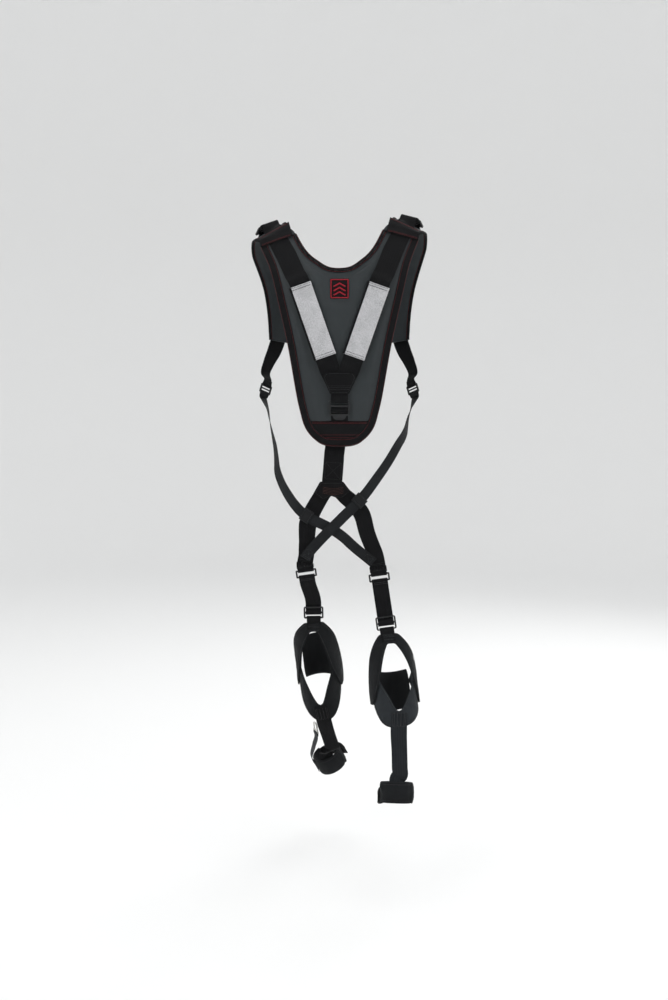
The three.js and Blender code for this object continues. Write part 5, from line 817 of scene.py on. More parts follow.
def strap(key, mat, body="root", leaned=False, slot="webbing", step=3.0, m=10, wob=0.12, seed=0.0, name=None):
    S = Strap(key, step=step, leaned=leaned)
    n = len(S.s)

    def extra(s, x, nn, i):
        return np.array([nz((s, xx, seed), 0.05) for xx in (x[0], x[len(x) // 4], x[len(x) // 2])]).mean() * wob + 0 * x

    L, U = S.loops(flat_prof(S.th, m), extra if wob else None)
    ob = loft(name or key + "_cloth", L, U, [mat], half=m + 6)
    go(ob, body, key, slot=slot)
    return S


# ------------------------------------------------------ the back's own surface
Y0 = [(-800, 30), (-740, 6), (-680, 0), (-600, 18), (-520, 30), (-500, 30), (-452, 27), (-405, 20), (-350, 10), (-303, 4), (-260, 2),
      (-220, 2), (-180, 3), (-138, 6), (-100, 12), (-66, 23), (-44, 31), (-22, 40), (0, 52), (12, 61)]


def table(tab, x):
    if x <= tab[0][0]:
        return tab[0][1]
    for i in range(1, len(tab)):
        if x <= tab[i][0]:
            x0, y0 = tab[i - 1]
            x1, y1 = tab[i]
            t = (x - x0) / (x1 - x0)
            p = (y1 - tab[i - 2][1]) / (x1 - tab[i - 2][0]) if i > 1 else (y1 - y0) / (x1 - x0)
            q = (tab[i + 1][1] - y0) / (tab[i + 1][0] - x0) if i < len(tab) - 1 else (y1 - y0) / (x1 - x0)
            h = x1 - x0
            t2, t3 = t * t, t * t * t
            return (2 * t3 - 3 * t2 + 1) * y0 + (t3 - 2 * t2 + t) * h * p + (-2 * t3 + 3 * t2) * y1 + (t3 - t2) * h * q
    return tab[-1][1]


ZG = np.arange(-800, 12.01, 0.5)
YG = np.array([table(Y0, z) for z in ZG])


def surf_y(x, z):
    return np.interp(z, ZG, YG) + x * x / 1200


def on_back(x, z, off):
    """Points at a height above the cover's outer face, leaned, and their outward normals."""
    x, z, off = np.broadcast_arrays(np.asarray(x, float), np.asarray(z, float), np.asarray(off, float))
    e = 2.0
    nx, ny = surf_y(x + e, z) - surf_y(x - e, z), -2 * e
    l = np.hypot(nx, ny)
    nx, ny = nx / l, ny / l
    dz = (surf_y(x, z + e) - surf_y(x, z - e)) / (2 * e)
    N = unit(np.stack([nx, ny, -dz * ny], -1))
    P = np.stack([x, surf_y(x, z), z], -1) + N * off[..., None]
    return lean(P), N


BOT = [(0, -515.8), (12, -515.6), (22, -515), (30, -514), (37, -512.3), (44, -509.7), (51, -505.8), (57, -501), (63, -496), (68.5, -490.5),
       (74, -484), (79.6, -476), (85, -465), (89.5, -452)]
SIDE = [(100.7, -405), (121, -287), (133, -230), (146.5, -171), (163.3, -100), (175.6, -66), (185.5, -44)]
TOP = [(0, -95.6), (24, -92.5), (47.8, -78), (62, -67), (73.6, -55), (86, -37), (95, -20), (102, -6), (108, 2), (116, 6.5), (133, 1),
       (155, -8), (176, -18), (190, -31)]


def inset(d):
    L = BOT + SIDE + TOP[::-1]
    n = len(L)
    off = []
    for i, p in enumerate(L):
        a = L[i - 1] if i > 0 else (-L[1][0], L[1][1])
        b = L[i + 1] if i < n - 1 else (-L[n - 2][0], L[n - 2][1])

        def e(u, v):
            l = math.hypot(v[0] - u[0], v[1] - u[1])
            return (-(v[1] - u[1]) / l, (v[0] - u[0]) / l)
        n1, n2 = e(a, p), e(p, b)
        m = (n1[0] + n2[0], n1[1] + n2[1])
        l = math.hypot(*m)
        k = min(1.35, 2 / l)
        off.append((0 if i in (0, n - 1) else p[0] + m[0] / l * d * k, p[1] + m[1] / l * d * k))
    B = off[:len(BOT)]
    S = off[len(BOT) - 1:len(BOT) + len(SIDE) + 1]
    T = off[len(BOT) + len(SIDE):][::-1]
    return B, S, T, [(q[1], q[0]) for q in S]


def crom(pts, f):
    """Smooth interpolation of a short list of 2D points at fractional indices f."""
    P = np.asarray(pts, float)
    f = np.clip(np.asarray(f, float), 0, len(P) - 1)
    i = np.minimum(f.astype(int), len(P) - 2)
    t = (f - i)[..., None]
    p0, p1, p2, p3 = P[np.maximum(i - 1, 0)], P[i], P[i + 1], P[np.minimum(i + 2, len(P) - 1)]
    return 0.5 * (2 * p1 + (p2 - p0) * t + (2 * p0 - 5 * p1 + 4 * p2 - p3) * t ** 2 + (3 * p1 - p0 - 3 * p2 + p3) * t ** 3)


def pad_xz(d, nu, nv):
    """Grid of (x, z) over the pad's outline, inset by d. Column 0 is the wearer's right."""
    B, S, T, edge = inset(d)
    K = len(B) - 1
    es = np.array(edge)
    o = np.argsort(es[:, 0])
    zd = np.linspace(es[:, 0].min(), es[:, 0].max(), 600)
    el = [(a, b) for a, b in es[o]]
    xd = np.array([table(el, z) for z in zd])
    ex = lambda z: np.interp(z, zd, xd)
    k = np.linspace(K, -K, nu)
    a = np.abs(k)
    Bp, Tp = crom(B, a), crom(T, a)
    v = np.linspace(0, 1, nv)[:, None]
    zz = Bp[None, :, 1] + (Tp[None, :, 1] - Bp[None, :, 1]) * v
    s0, s1 = Bp[:, 0] / ex(Bp[:, 1]), Tp[:, 0] / ex(Tp[:, 1])
    s = s0[None] + (s1 - s0)[None] * (v * v * (3 - 2 * v))
    xx = s * ex(zz)
    xx[0], xx[-1] = Bp[:, 0], Tp[:, 0]
    return xx * np.sign(k)[None], zz


def dist_to(xx, zz, path, closed=False):
    """Distance from grid points to a 2D polyline."""
    q = np.asarray(path, float)
    best = np.full(xx.shape, 1e9)
    for a, b in zip(q[:-1], q[1:]):
        d = b - a
        t = np.clip(((xx - a[0]) * d[0] + (zz - a[1]) * d[1]) / (d @ d), 0, 1)
        best = np.minimum(best, np.hypot(xx - a[0] - t * d[0], zz - a[1] - t * d[1]))
    return best


def sstep(x):
    x = np.clip(x, 0, 1)
    return x * x * (3 - 2 * x)


def side_path(sg):
    return [(sg * x, z) for x, z in [(149, -8), (136, -40), (119, -76), (104, -110), (91.4, -138), (33.5, -302.8), (18, -347), (0, -375)]]


o5 = -11.2
GAPB, BT, BW = 1.45, 1.4, 19.0
NECK = [(0, -95.6), (12, -95), (24, -92.5), (36, -86.5), (47.8, -78), (62, -67), (73.6, -55), (86, -37), (95, -20), (101, -8)]
neck = [(x, z) for x, z in NECK[::-1]] + [(-x, z) for x, z in NECK[1:]]
outline = BOT + SIDE + TOP[::-1]
outline = [(-x, z) for x, z in outline[::-1]] + outline[1:]


def crown(xx, zz, amp=2.3):
    d = np.minimum(dist_to(xx, zz, side_path(1)), dist_to(xx, zz, side_path(-1)))
    d = np.minimum(d, dist_to(xx, zz, [(0, -340), (0, -455)]) + 3)
    d = np.minimum(d, np.maximum(np.maximum(np.abs(xx) - 24, np.abs(zz + 145.5) - 25), 0) + 24)
    f = sstep((d - 26) / 20)
    e = sstep((np.where((zz > -120) & (np.abs(xx) < 96), dist_to(xx, zz, outline) + 6.5, dist_to(xx, zz, outline)) - BW + 1) / 20)
    low = sstep((zz + 462) / 22)
    h = 0.15 + amp * f * e * low
    dn = dist_to(xx, zz, neck)
    h = h - 1.5 * np.exp(-((dn - 21.5) / 1.9) ** 2) * sstep((92 - np.abs(xx)) / 12) * (0.35 + 0.65 * f)
    return h * 1.0


# ---------------------------------------------------------------- back pad
nu, nv = 131, 171
xx, zz = pad_xz(3.0, nu, nv)
cr = crown(xx, zz)
wr = np.zeros_like(cr)
for i in range(nv):
    for j in range(nu):
        q = (xx[i, j], zz[i, j], 0.0)
        wr[i, j] = nz(q, 0.021, 3.1) * 0.7 + nz((q[0] * 1.6, q[1] * 0.6, 0), 0.06, 9.0) * 0.28
cr = cr + wr * sstep(cr / 1.2)
outer, _ = on_back(xx, zz, cr)
inner, _ = on_back(xx, zz, -9.0)
rim1, _ = on_back(xx, zz, -1.6)
U = np.stack([xx, zz], -1)
# closed loops row by row: outer face left to right, inner face back
L = np.concatenate([outer, inner[:, ::-1]], 1)
UU = np.concatenate([U, U[:, ::-1]], 1)
F, k = [], 2 * nu
for i in range(nv - 1):
    for j in range(k):
        F.append((i * k + j, i * k + (j + 1) % k, (i + 1) * k + (j + 1) % k, (i + 1) * k + j))
for r in (0, nv - 1):
    for j in range(nu - 1):
        F.append((r * k + j, r * k + j + 1, r * k + k - 2 - j, r * k + k - 1 - j))
pad = build("back_pad", L.reshape(-1, 3), F, UU.reshape(-1, 2), [M["cover"]])
go(pad, "root", "back_pad_cover", "back_pad_foam", slot="cover_leatherette")

# lining: quilted spacer mesh towards the wearer
xx, zz = pad_xz(3.0, 101, 151)
chan = np.abs(((zz + 40) / 46.0) % 1 - 0.5) * 46
ql = 2.0 * (1 - np.exp(-((23 - chan) / 6.0) ** 2)) * sstep((dist_to(xx, zz, outline) - BW) / 14)
spine = np.exp(-(xx / 10) ** 2) * sstep((dist_to(xx, zz, outline) - BW - 6) / 16)
ql = ql * (1 - spine) + 0.1
face, _ = on_back(xx, zz, -11.2 - ql)
bk, _ = on_back(xx, zz, -9.7)
L = np.concatenate([face[:, ::-1], bk], 1)
UU = np.concatenate([np.stack([xx, zz], -1)[:, ::-1], np.stack([xx, zz], -1)], 1)
nv2, k = xx.shape[0], 2 * xx.shape[1]
F = []
for i in range(nv2 - 1):
    for j in range(k):
        F.append((i * k + j, i * k + (j + 1) % k, (i + 1) * k + (j + 1) % k, (i + 1) * k + j))
for r in (0, nv2 - 1):
    for j in range(k // 2 - 1):
        F.append((r * k + j, r * k + j + 1, r * k + k - 2 - j, r * k + k - 1 - j))
ob = build("pad_lining_quilt", L.reshape(-1, 3), F, UU.reshape(-1, 2), [M["mesh"]])
go(ob, "root", "back_pad_lining", slot="lining_mesh")
for zc in np.arange(-40 - 23, -470, -46.0):
    for sg in (-1, 1):
        xm = np.interp(zc, [-516, -452, -405, -287, -171, -66], [20, 66, 76, 96, 120, 150])
        x = np.linspace(14, xm - 4, 30) * sg
        if zc > -110:
            x = np.linspace(88, xm - 4, 20) * sg
        P, N = on_back(x, np.full_like(x, zc), -11.5)
        stitch(("root", "dark"), P, -N, r=0.4)


# ----------------------------------------------------------------- bindings
def resample2(path, step):
    P = np.concatenate([np.asarray(path, float), np.zeros((len(path), 1))], 1)
    R, s = hermite(P, step)
    return R[:, :2], s


def binding(name, path, node, BW=BW):
    Q, s = resample2(path, 4.0)
    T = unit(np.gradient(Q, axis=0))
    Nn = np.stack([-T[:, 1], T[:, 0]], -1)
    lo, hi, li, l2 = GAPB, GAPB + BT, o5 - GAPB, o5 - GAPB - BT
    mid, hh = (hi + l2) / 2, (hi - l2) / 2
    sec = [(BW, hi - 0.5), (BW - 0.35, hi - 0.1), (BW - 1, hi)] + [(x, hi) for x in (BW * 0.79, BW * 0.58, 7.5)]
    for a in np.linspace(0, math.pi, 11):
        sec.append((5.2 - 5.0 * math.sin(a) ** 0.8, mid + hh * math.cos(a)))
    sec += [(x, l2) for x in (7.5, BW * 0.58, BW * 0.79)] + [(BW - 1, l2), (BW - 0.35, l2 + 0.1), (BW, l2 + 0.5), (BW, li), (BW * 0.63, li), (6, li), (2.2, li + 1.2), (1.9, -4.8), (2.2, lo - 1.2), (6, lo), (BW * 0.63, lo), (BW, lo)]
    sec = np.array(sec)
    puck = np.array([[0.22 * math.sin(s_ / 3.1 + 0.7 * math.sin(s_ / 17)) for _ in sec] for s_ in s])
    near = np.clip((7 - np.abs(sec[:, 0] - 8)) / 7, 0, 1)
    X = Q[:, None, 0] + Nn[:, None, 0] * sec[None, :, 0]
    Z = Q[:, None, 1] + Nn[:, None, 1] * sec[None, :, 0]
    P, _ = on_back(X, Z, sec[None, :, 1] + puck * near[None])
    arc = np.concatenate([[0], np.cumsum(np.linalg.norm(np.diff(sec, axis=0), axis=1))])
    U = np.stack([np.broadcast_to(s[:, None], X.shape), np.broadcast_to(arc[None], X.shape)], -1)
    ob = loft(name, P, U, [M["bind"]], cap="ngon")
    go(ob, "root", node, slot="binding_tape")
    for x, m in ((BW - 1.6, "red"), (2.6, "red")):
        for sgn, base in ((1, hi), (-1, l2)):
            if sgn < 0 and x < 5:
                continue
            X, Z = Q[:, 0] + Nn[:, 0] * x, Q[:, 1] + Nn[:, 1] * x
            P, N = on_back(X, Z, base + 0.12 * sgn if x > 5 else base - 0.25)
            stitch(("root", m), P, N * sgn, pitch=3.6, length=3.0, r=0.5)


_, _, _, edge0 = inset(0)
el = sorted(edge0)
side = []
for i in range(1, 31):
    z = -452 + (-33 + 452) * i / 30
    side.append((table(el, z), z))
half = BOT + side
binding("side_binding_tape", [(-x, z) for x, z in half[::-1]] + half[1:], "pad_side_binding")
binding("neck_binding_tape", neck, "pad_neck_binding", 12.5)

# lower band
B, _, _, ed = inset(BW + 0.6)
zt, K = -454.0, len(B) - 1
n1, n2 = 81, 15
k = np.linspace(K, -K, n1)
a = np.abs(k)
Bp = crom(B, a)
xt = table(sorted(ed), zt)
v = np.linspace(0, 1, n2)[:, None]
zz = Bp[None, :, 1] + (zt - Bp[None, :, 1]) * v
xx = (Bp[None, :, 0] + (a / K * xt - Bp[:, 0])[None] * v) * np.sign(k)[None]
top_e = np.minimum(np.minimum(v, 1 - v) * 12, 1)
side_e = np.minimum((1 - a / K)[None] * 20, 1)
h = 1.0 + 1.0 * np.sqrt(np.clip(top_e * side_e, 0, 1))
outer, _ = on_back(xx, zz, h + 0.2 * np.sin(zz / 9.0) * top_e)
inner, _ = on_back(xx, zz, np.full_like(xx, 0.8))
U = np.stack([zz, xx], -1)
L = np.concatenate([outer, inner[:, ::-1]], 1)
UU = np.concatenate([U, U[:, ::-1]], 1)
kk, F = 2 * n1, []
for i in range(n2 - 1):
    for j in range(kk):
        F.append((i * kk + j, i * kk + (j + 1) % kk, (i + 1) * kk + (j + 1) % kk, (i + 1) * kk + j))
for r in (0, n2 - 1):
    for j in range(n1 - 1):
        F.append((r * kk + j, r * kk + j + 1, r * kk + kk - 2 - j, r * kk + kk - 1 - j))
ob = build("lower_band_tape", L.reshape(-1, 3), F, UU.reshape(-1, 2), [M["bind"]])
go(ob, "root", "pad_lower_band", slot="binding_tape")
for z, w, m in ((-456.8, 66, "red"), (-459.8, 65, "red"), (-487.0, 50, "red"), (-493.5, 42, "red")):
    x = np.linspace(-w, w, 60)
    P, N = on_back(x, np.full_like(x, z), 2.25)
    stitch(("root", m), P, N, pitch=3.6, length=3.0, r=0.5)

# badge: plain raised ring on a red square
n1 = 41
xs, zs = np.linspace(22, -22, n1), np.linspace(-168.5, -122.5, n1)
X, Z = np.meshgrid(xs, zs)
ex = np.minimum(22 - np.abs(X), 23 - np.abs(Z + 145.5))
h = 1.5 + 0.3 * (ex < 3.4) - 0.7 * (ex < 0.3)
P1, _ = on_back(X, Z, h)
P0, _ = on_back(X, Z, np.full_like(X, 0.35))
k = 2 * n1
L = np.concatenate([P1, P0[:, ::-1]], 1)
UU = np.concatenate([np.stack([X, Z], -1), np.stack([X, Z], -1)[:, ::-1]], 1)
F = []
for i in range(n1 - 1):
    for j in range(k):
        F.append((i * k + j, i * k + (j + 1) % k, (i + 1) * k + (j + 1) % k, (i + 1) * k + j))
for r in (0, n1 - 1):
    for j in range(n1 - 1):
        F.append((r * k + j, r * k + j + 1, r * k + k - 2 - j, r * k + k - 1 - j))
ob = build("badge", L.reshape(-1, 3), F, UU.reshape(-1, 2), [M["badge"]])
go(ob, "root", "emblem_patch", slot="emblem")
def satin(path, width, hgt):
    """Raised satin-stitched bar: threads laid side by side across a path."""
    q, s_ = resample2(path, 0.62)
    T = unit(np.gradient(q, axis=0))
    Nn = np.stack([-T[:, 1], T[:, 0]], -1)
    for c, t_ in zip(q, Nn):
        f = np.linspace(-1, 1, 5)
        P, N = on_back(c[0] + t_[0] * width / 2 * f, c[1] + t_[1] * width / 2 * f, hgt + 0.45 * (1 - f * f))
        stitch(("root", "satin"), P, N, pitch=width, length=width * 0.99, r=0.36)


for dz in (-11.5, -1.5, 8.5):
    satin([(-13.5, -149 + dz), (-6.75, -145.3 + dz), (-0.01, -141.4 + dz)], 3.6, 1.55)
    satin([(0.01, -141.4 + dz), (6.75, -145.3 + dz), (13.5, -149 + dz)], 3.6, 1.55)
t = np.linspace(0, 1, 40)
for q in ((-19.8, -19.8, -166.4, -124.6), (19.8, 19.8, -166.4, -124.6), (-19.8, 19.8, -166.4, -166.4), (-19.8, 19.8, -124.6, -124.6)):
    satin([(q[0], q[2]), ((q[0] + q[1]) / 2, (q[2] + q[3]) / 2), (q[1], q[3])], 2.6, 1.9)

# ---------------------------------------------------- back webbing and sleeves
for side_ in ("left", "right"):
    strap("back_webbing_" + side_, M["web"], leaned=True, seed=1.0, m=12)
strap("junction_webbing", M["web"])
strap("adjuster_tab", M["web"], step=2.0)


def flat_tube(name, C, W, N, T, length, ow, oh, hw, hh, mats, body, node, slot, hem=7.0, wrinkle=0.35, seed=0.0, edge_mat=1, stitches="dark", nrow=60):
    C, W, N, T = (np.array(v, float) for v in (C, W, N, T))
    x, y = [], []
    m = 14
    for i in range(m + 1):
        f = -1 + 2 * i / m
        x.append(f * (ow - oh * 0.55))
        y.append(oh)
    for a in (0.3, 0.65, 1.0, 1.35, 1.7, 2.05, 2.4, 2.8):
        x.append(ow - oh * 0.55 + oh * 0.55 * math.sin(a) if a < 3 else ow)
        y.append(oh * math.cos(a))
    px, py = np.array(x), np.array(y)
    px = np.concatenate([px[:m + 1], px[m + 1:], -px[:m + 1], -px[m + 1:]])
    py = np.concatenate([py[:m + 1], py[m + 1:], -py[:m + 1], -py[m + 1:]])
    kx = len(px)
    rows, uv, kind = [], [], []
    ts = np.linspace(-length / 2, length / 2, nrow)
    for t in ts:
        e = length / 2 - abs(t)
        ring = 0.75 * sstep((hem - e) / 1.2) - 0.75 * math.exp(-((e - hem) / 1.1) ** 2) - 0.35 * sstep((0.9 - e) / 0.9)
        w = np.array([(nz((a, t * 0.45, b), 0.06, seed) + 0.6 * nz((a, t, b), 0.15, seed + 5)) * wrinkle for a, b in zip(px, py)]) * sstep((e - 1) / 8)
        flare = 1 + 0.012 * sstep((hem - e) / 4)
        sg = np.sign(py)
        yy = py + sg * (ring + w) * np.where(py < 0, 0.2, 1.0) * np.clip(np.abs(py) / oh * 1.5, 0, 1)
        rows.append(C + np.outer(px * flare, W) + np.outer(yy, N) + t * T)
        uv.append(np.stack([px, np.full(kx, t)], -1))
    ix = np.clip(px, -hw, hw)
    iy = np.clip(py * 1.2, -hh, hh)
    for t in ts[::-1][::6].tolist() + [ts[0]]:
        rows.append(C + np.outer(ix, W) + np.outer(iy, N) + t * T)
        uv.append(np.stack([ix, np.full(kx, t)], -1))
    L, U = np.array(rows), np.array(uv)

    # faces on the tube's folded long sides take material slot edge_mat; on the reflective sleeves that slot is the
    # black binding tape, a painted shade along the sides
    def fm(i, j):
        return edge_mat if abs(px[j]) > ow - 1.6 and i < nrow else 0
    ob = loft(name, L, U, mats, close_rows=True, fm=fm)
    go(ob, body, node, slot=slot)
    if stitches:
        for sg in (-1, 1):
            for e in (hem - 1.4, 2.4):
                xs = np.linspace(-ow + 3, ow - 3, 30)
                P = C + np.outer(xs, W) + (sg * (length / 2 - e)) * T + (oh + 0.55) * N
                stitch((body, stitches), P, np.tile(N, (30, 1)), pitch=3.6, length=3.1, r=0.78)
    return ob


# reflective sleeves: silver body whose folded long sides are black, a painted shade along the edges
for side_ in ("left", "right"):
    C, W, N, T = FR["reflective_sleeve_" + side_]
    flat_tube("sleeve_" + side_, C, W, N, T, 178, 27.5, 2.7, 25.3, 1.5, [M["reflect"], M["bind"]], side_ + "_sleeve", "reflective_sleeve_" + side_, "reflective_fabric", hem=9, wrinkle=0.75, seed=2.0 if side_ == "left" else 7.0, stitches="ink", nrow=90)
for side_, L_ in (("left", 1.0), ("right", 4.0)):
    C, W, N, T = FR["strap_keeper_" + side_]
    flat_tube("keeper_" + side_, C, W, N, T, 24, 15.6, 3.7, 14.2, 2.5, [M["keeper"], M["keeper"]], "root", "strap_keeper_" + side_, "keeper_tape", hem=3, wrinkle=0.5, seed=L_, stitches=None, nrow=26)
    C, W, N, T = (np.array(v, float) for v in (C, W, N, T))
    for e in (-9.5, 9.5):
        xs = np.linspace(-13, 13, 12)
        stitch(("root", "grey"), C + np.outer(xs, W) + e * T + 3.75 * N, np.tile(N, (12, 1)), pitch=3.2, length=2.6, r=0.4)

# junction patch
rows_ = np.array([(-337, 30, 9.0), (-350, 38, 8.8), (-364, 33, 8.8), (-377, 27, 9.2), (-388, 22.5, 9.8)], float)
f = np.linspace(0, 4, 29)
zc = np.interp(f, range(5), rows_[:, 0])
hw_ = crom(rows_[:, 1:2], f)[:, 0]
of_ = np.interp(f, range(5), rows_[:, 2])
u = np.linspace(1, -1, 31)
X, Z = u[None] * hw_[:, None], np.broadcast_to(zc[:, None], (29, 31))
eg = np.minimum((1 - np.abs(u))[None] * hw_[:, None], np.minimum(zc.max() - Z, Z - zc.min()))
h = of_[:, None] + 0.35 + 0.9 * sstep(eg / 1.4) - 0.35 * np.exp(-((np.abs(X) - 12) / 9) ** 2)
P1, _ = on_back(X, Z, h)
P0, _ = on_back(X, Z, np.broadcast_to(of_[:, None], X.shape))
L = np.concatenate([P1, P0[:, ::-1]], 1)
UU = np.concatenate([np.stack([X, Z], -1), np.stack([X, Z], -1)[:, ::-1]], 1)
k, F = 62, []
for i in range(28):
    for j in range(k):
        F.append((i * k + j, i * k + (j + 1) % k, (i + 1) * k + (j + 1) % k, (i + 1) * k + j))
for r in (0, 28):
    for j in range(30):
        F.append((r * k + j, r * k + j + 1, r * k + k - 2 - j, r * k + k - 1 - j))
ob = build("junction_cover", L.reshape(-1, 3), F, UU.reshape(-1, 2), [M["web"]])
go(ob, "root", "junction_patch", slot="webbing")
for z, w in ((-340.5, 25), (-369.5, 27), (-373.5, 26), (-378, 24), (-384.5, 20)):
    x = np.linspace(-w, w, 30)
    P, N = on_back(x, np.full_like(x, z), np.interp(z, rows_[::-1, 0], rows_[::-1, 2]) + 1.25)
    stitch(("root", "grey"), P, N, pitch=3.4, length=2.7, r=0.4)
for sg in (-1, 1):
    zl = np.linspace(-341, -385, 30)
    w = np.interp(-zl, -rows_[:, 0], rows_[:, 1]) - 3.5
    P, N = on_back(sg * w, zl, np.interp(-zl, -rows_[:, 0], rows_[:, 2]) + 1.2)
    stitch(("root", "grey"), P, N, pitch=3.4, length=2.7, r=0.4)

# ------------------------------------------------------------ spine, hub, legs
S = strap("spine_strap", M["web"], m=12, seed=2)
box_x(S, "root", "dark", 96, 138, 19)
for side_ in ("left", "right"):
    S = strap("leg_strap_" + side_, M["web"], m=10, seed=3)
    e = S.len - 24 - 14
    for d in (0, 3.5, 7):
        strap_stitch(S, "root", "grey", -16, 16, e - 14 + d, e - 14 + d, pitch=3.0, length=2.6)
    S = strap("hip_strap_" + side_, M["twill"], m=8, seed=4, slot="hip_webbing")
    box_x(S, "root", "dark", S.len - 26, S.len - 6, 9)
    for s0 in (30, 34):
        strap_stitch(S, "root", "dark", -10, 10, s0, s0)
    S = strap("thigh_elastic_" + side_, M["elastic"], body=side_ + "_elastic", m=10, seed=5, slot="elastic")
    for d in (30, 34):
        strap_stitch(S, side_ + "_elastic", "grey", -16, 16, d, d, pitch=3.0, length=2.6)

# frilled, folded end of the strap above each thigh ring
for side_ in ("left", "right"):
    S = Strap("leg_strap_" + side_)
    base = S.len - 46
    rows, uv = [], []
    for i in range(13):
        f = i / 12
        x = np.linspace(-20.4, 20.4, 49)
        frill = (1.5 * np.sin(x * 0.85 + 1.2 * f) + 0.9 * np.sin(x * 2.1)) * f ** 1.3 + 0.9 * np.sin(i * 2.1) * (np.abs(x) / 20) ** 6
        s = base + 15 - 15 * f + 0.8 * np.sin(x * 1.4) * f
        P, N = S.at(s, x, 0)
        up = P + N * (1.75 + 1.9 * f + frill * 0.6)[:, None]
        dn = P + N * (1.05 + 1.9 * f + frill * 0.6)[:, None]
        rows.append(np.concatenate([up, dn[::-1]]))
        uv.append(np.concatenate([np.stack([x, s], -1), np.stack([x, s], -1)[::-1]]))
    L, U = np.array(rows), np.array(uv)
    k, F = L.shape[1], []
    for i in range(len(L) - 1):
        for j in range(k):
            F.append((i * k + j, i * k + (j + 1) % k, (i + 1) * k + (j + 1) % k, (i + 1) * k + j))
    for r in (0, len(L) - 1):
        for j in range(k // 2 - 1):
            F.append((r * k + j, r * k + j + 1, r * k + k - 2 - j, r * k + k - 1 - j))
    ob = build("strap_end_" + side_, L.reshape(-1, 3), F, U.reshape(-1, 2), [M["web"]])
    go(ob, "root", slot="webbing")
    for d in (2.5, 5.5):
        P, N = S.at(np.full(20, base + 13 - d), np.linspace(-16, 16, 20), 2.3)
        stitch(("root", "grey"), P, N, pitch=3.0, length=2.6, r=0.4)

# hub patch
poly = [(-46, -596.3), (-61.3, -623.4), (-38.9, -641.2), (-18.8, -630.2), (4.8, -638.8), (27.2, -619.8), (9.1, -596.3)]


def inpoly(poly, d):
    c = np.mean(poly, 0)
    out = []
    n = len(poly)
    for i in range(n):
        a, b, e = (np.array(poly[(i + q) % n], float) for q in (-1, 0, 1))
        t1, t2 = unit(b - a), unit(e - b)
        m = np.array([-(t1[1] + t2[1]), t1[0] + t2[0]])
        m = m / max(1e-6, (m @ np.array([-t1[1], t1[0]])))
        out.append(b + m * d)
    return np.array(out)


hy = lambda z, o: 2.2 + (z + 596) * -0.02 - o
area = sum(poly[i][0] * poly[(i + 1) % 7][1] - poly[(i + 1) % 7][0] * poly[i][1] for i in range(7))
sgn = 1 if area > 0 else -1
rings = []
for d, o in ((0.0, 0.1), (0.0, 0.9), (0.35, 1.35), (1.2, 1.5), (3.0, 1.45), (3.6, 1.2), (4.2, 1.45), (9, 1.6)):
    q = inpoly(poly, d * sgn)
    q2 = []
    for i in range(7):
        for t in np.linspace(0, 1, 9)[:-1]:
            q2.append(q[i] + (q[(i + 1) % 7] - q[i]) * t)
    q2 = np.array(q2)
    rings.append(np.stack([q2[:, 0], hy(q2[:, 1], o), q2[:, 1]], -1))
L = np.array(rings)
U = L[..., [0, 2]]
n, k = L.shape[:2]
V = L.reshape(-1, 3)
F = []
for i in range(n - 1):
    for j in range(k):
        F.append((i * k + j, i * k + (j + 1) % k, (i + 1) * k + (j + 1) % k, (i + 1) * k + j))
F.append(tuple((n - 1) * k + j for j in range(k)))
F.append(tuple(range(k - 1, -1, -1)))
ob = build("hub_patch", V, F, V[:, [0, 2]], [M["web"]])
go(ob, "root", "seat_hub", slot="webbing")
q = inpoly(poly, 3.6 * sgn)
for i in range(7):
    t = np.linspace(0, 1, 14)[:, None]
    p = q[i] + (q[(i + 1) % 7] - q[i]) * t
    stitch(("root", "dark"), np.stack([p[:, 0], hy(p[:, 1], 1.5), p[:, 1]], -1), np.tile([0, -1, 0], (14, 1)), pitch=3.2, length=2.7)
for zc in (-611, -614.5, -618, -621.5, -625):
    x = np.linspace(-40, 10, 30)
    z = zc + 2.0 * np.sin(x / 9.0)
    stitch(("root", "rust"), np.stack([x, hy(z, 1.7), z], -1), np.tile([0, -1, 0], (30, 1)), pitch=2.6, length=2.4, r=0.42)

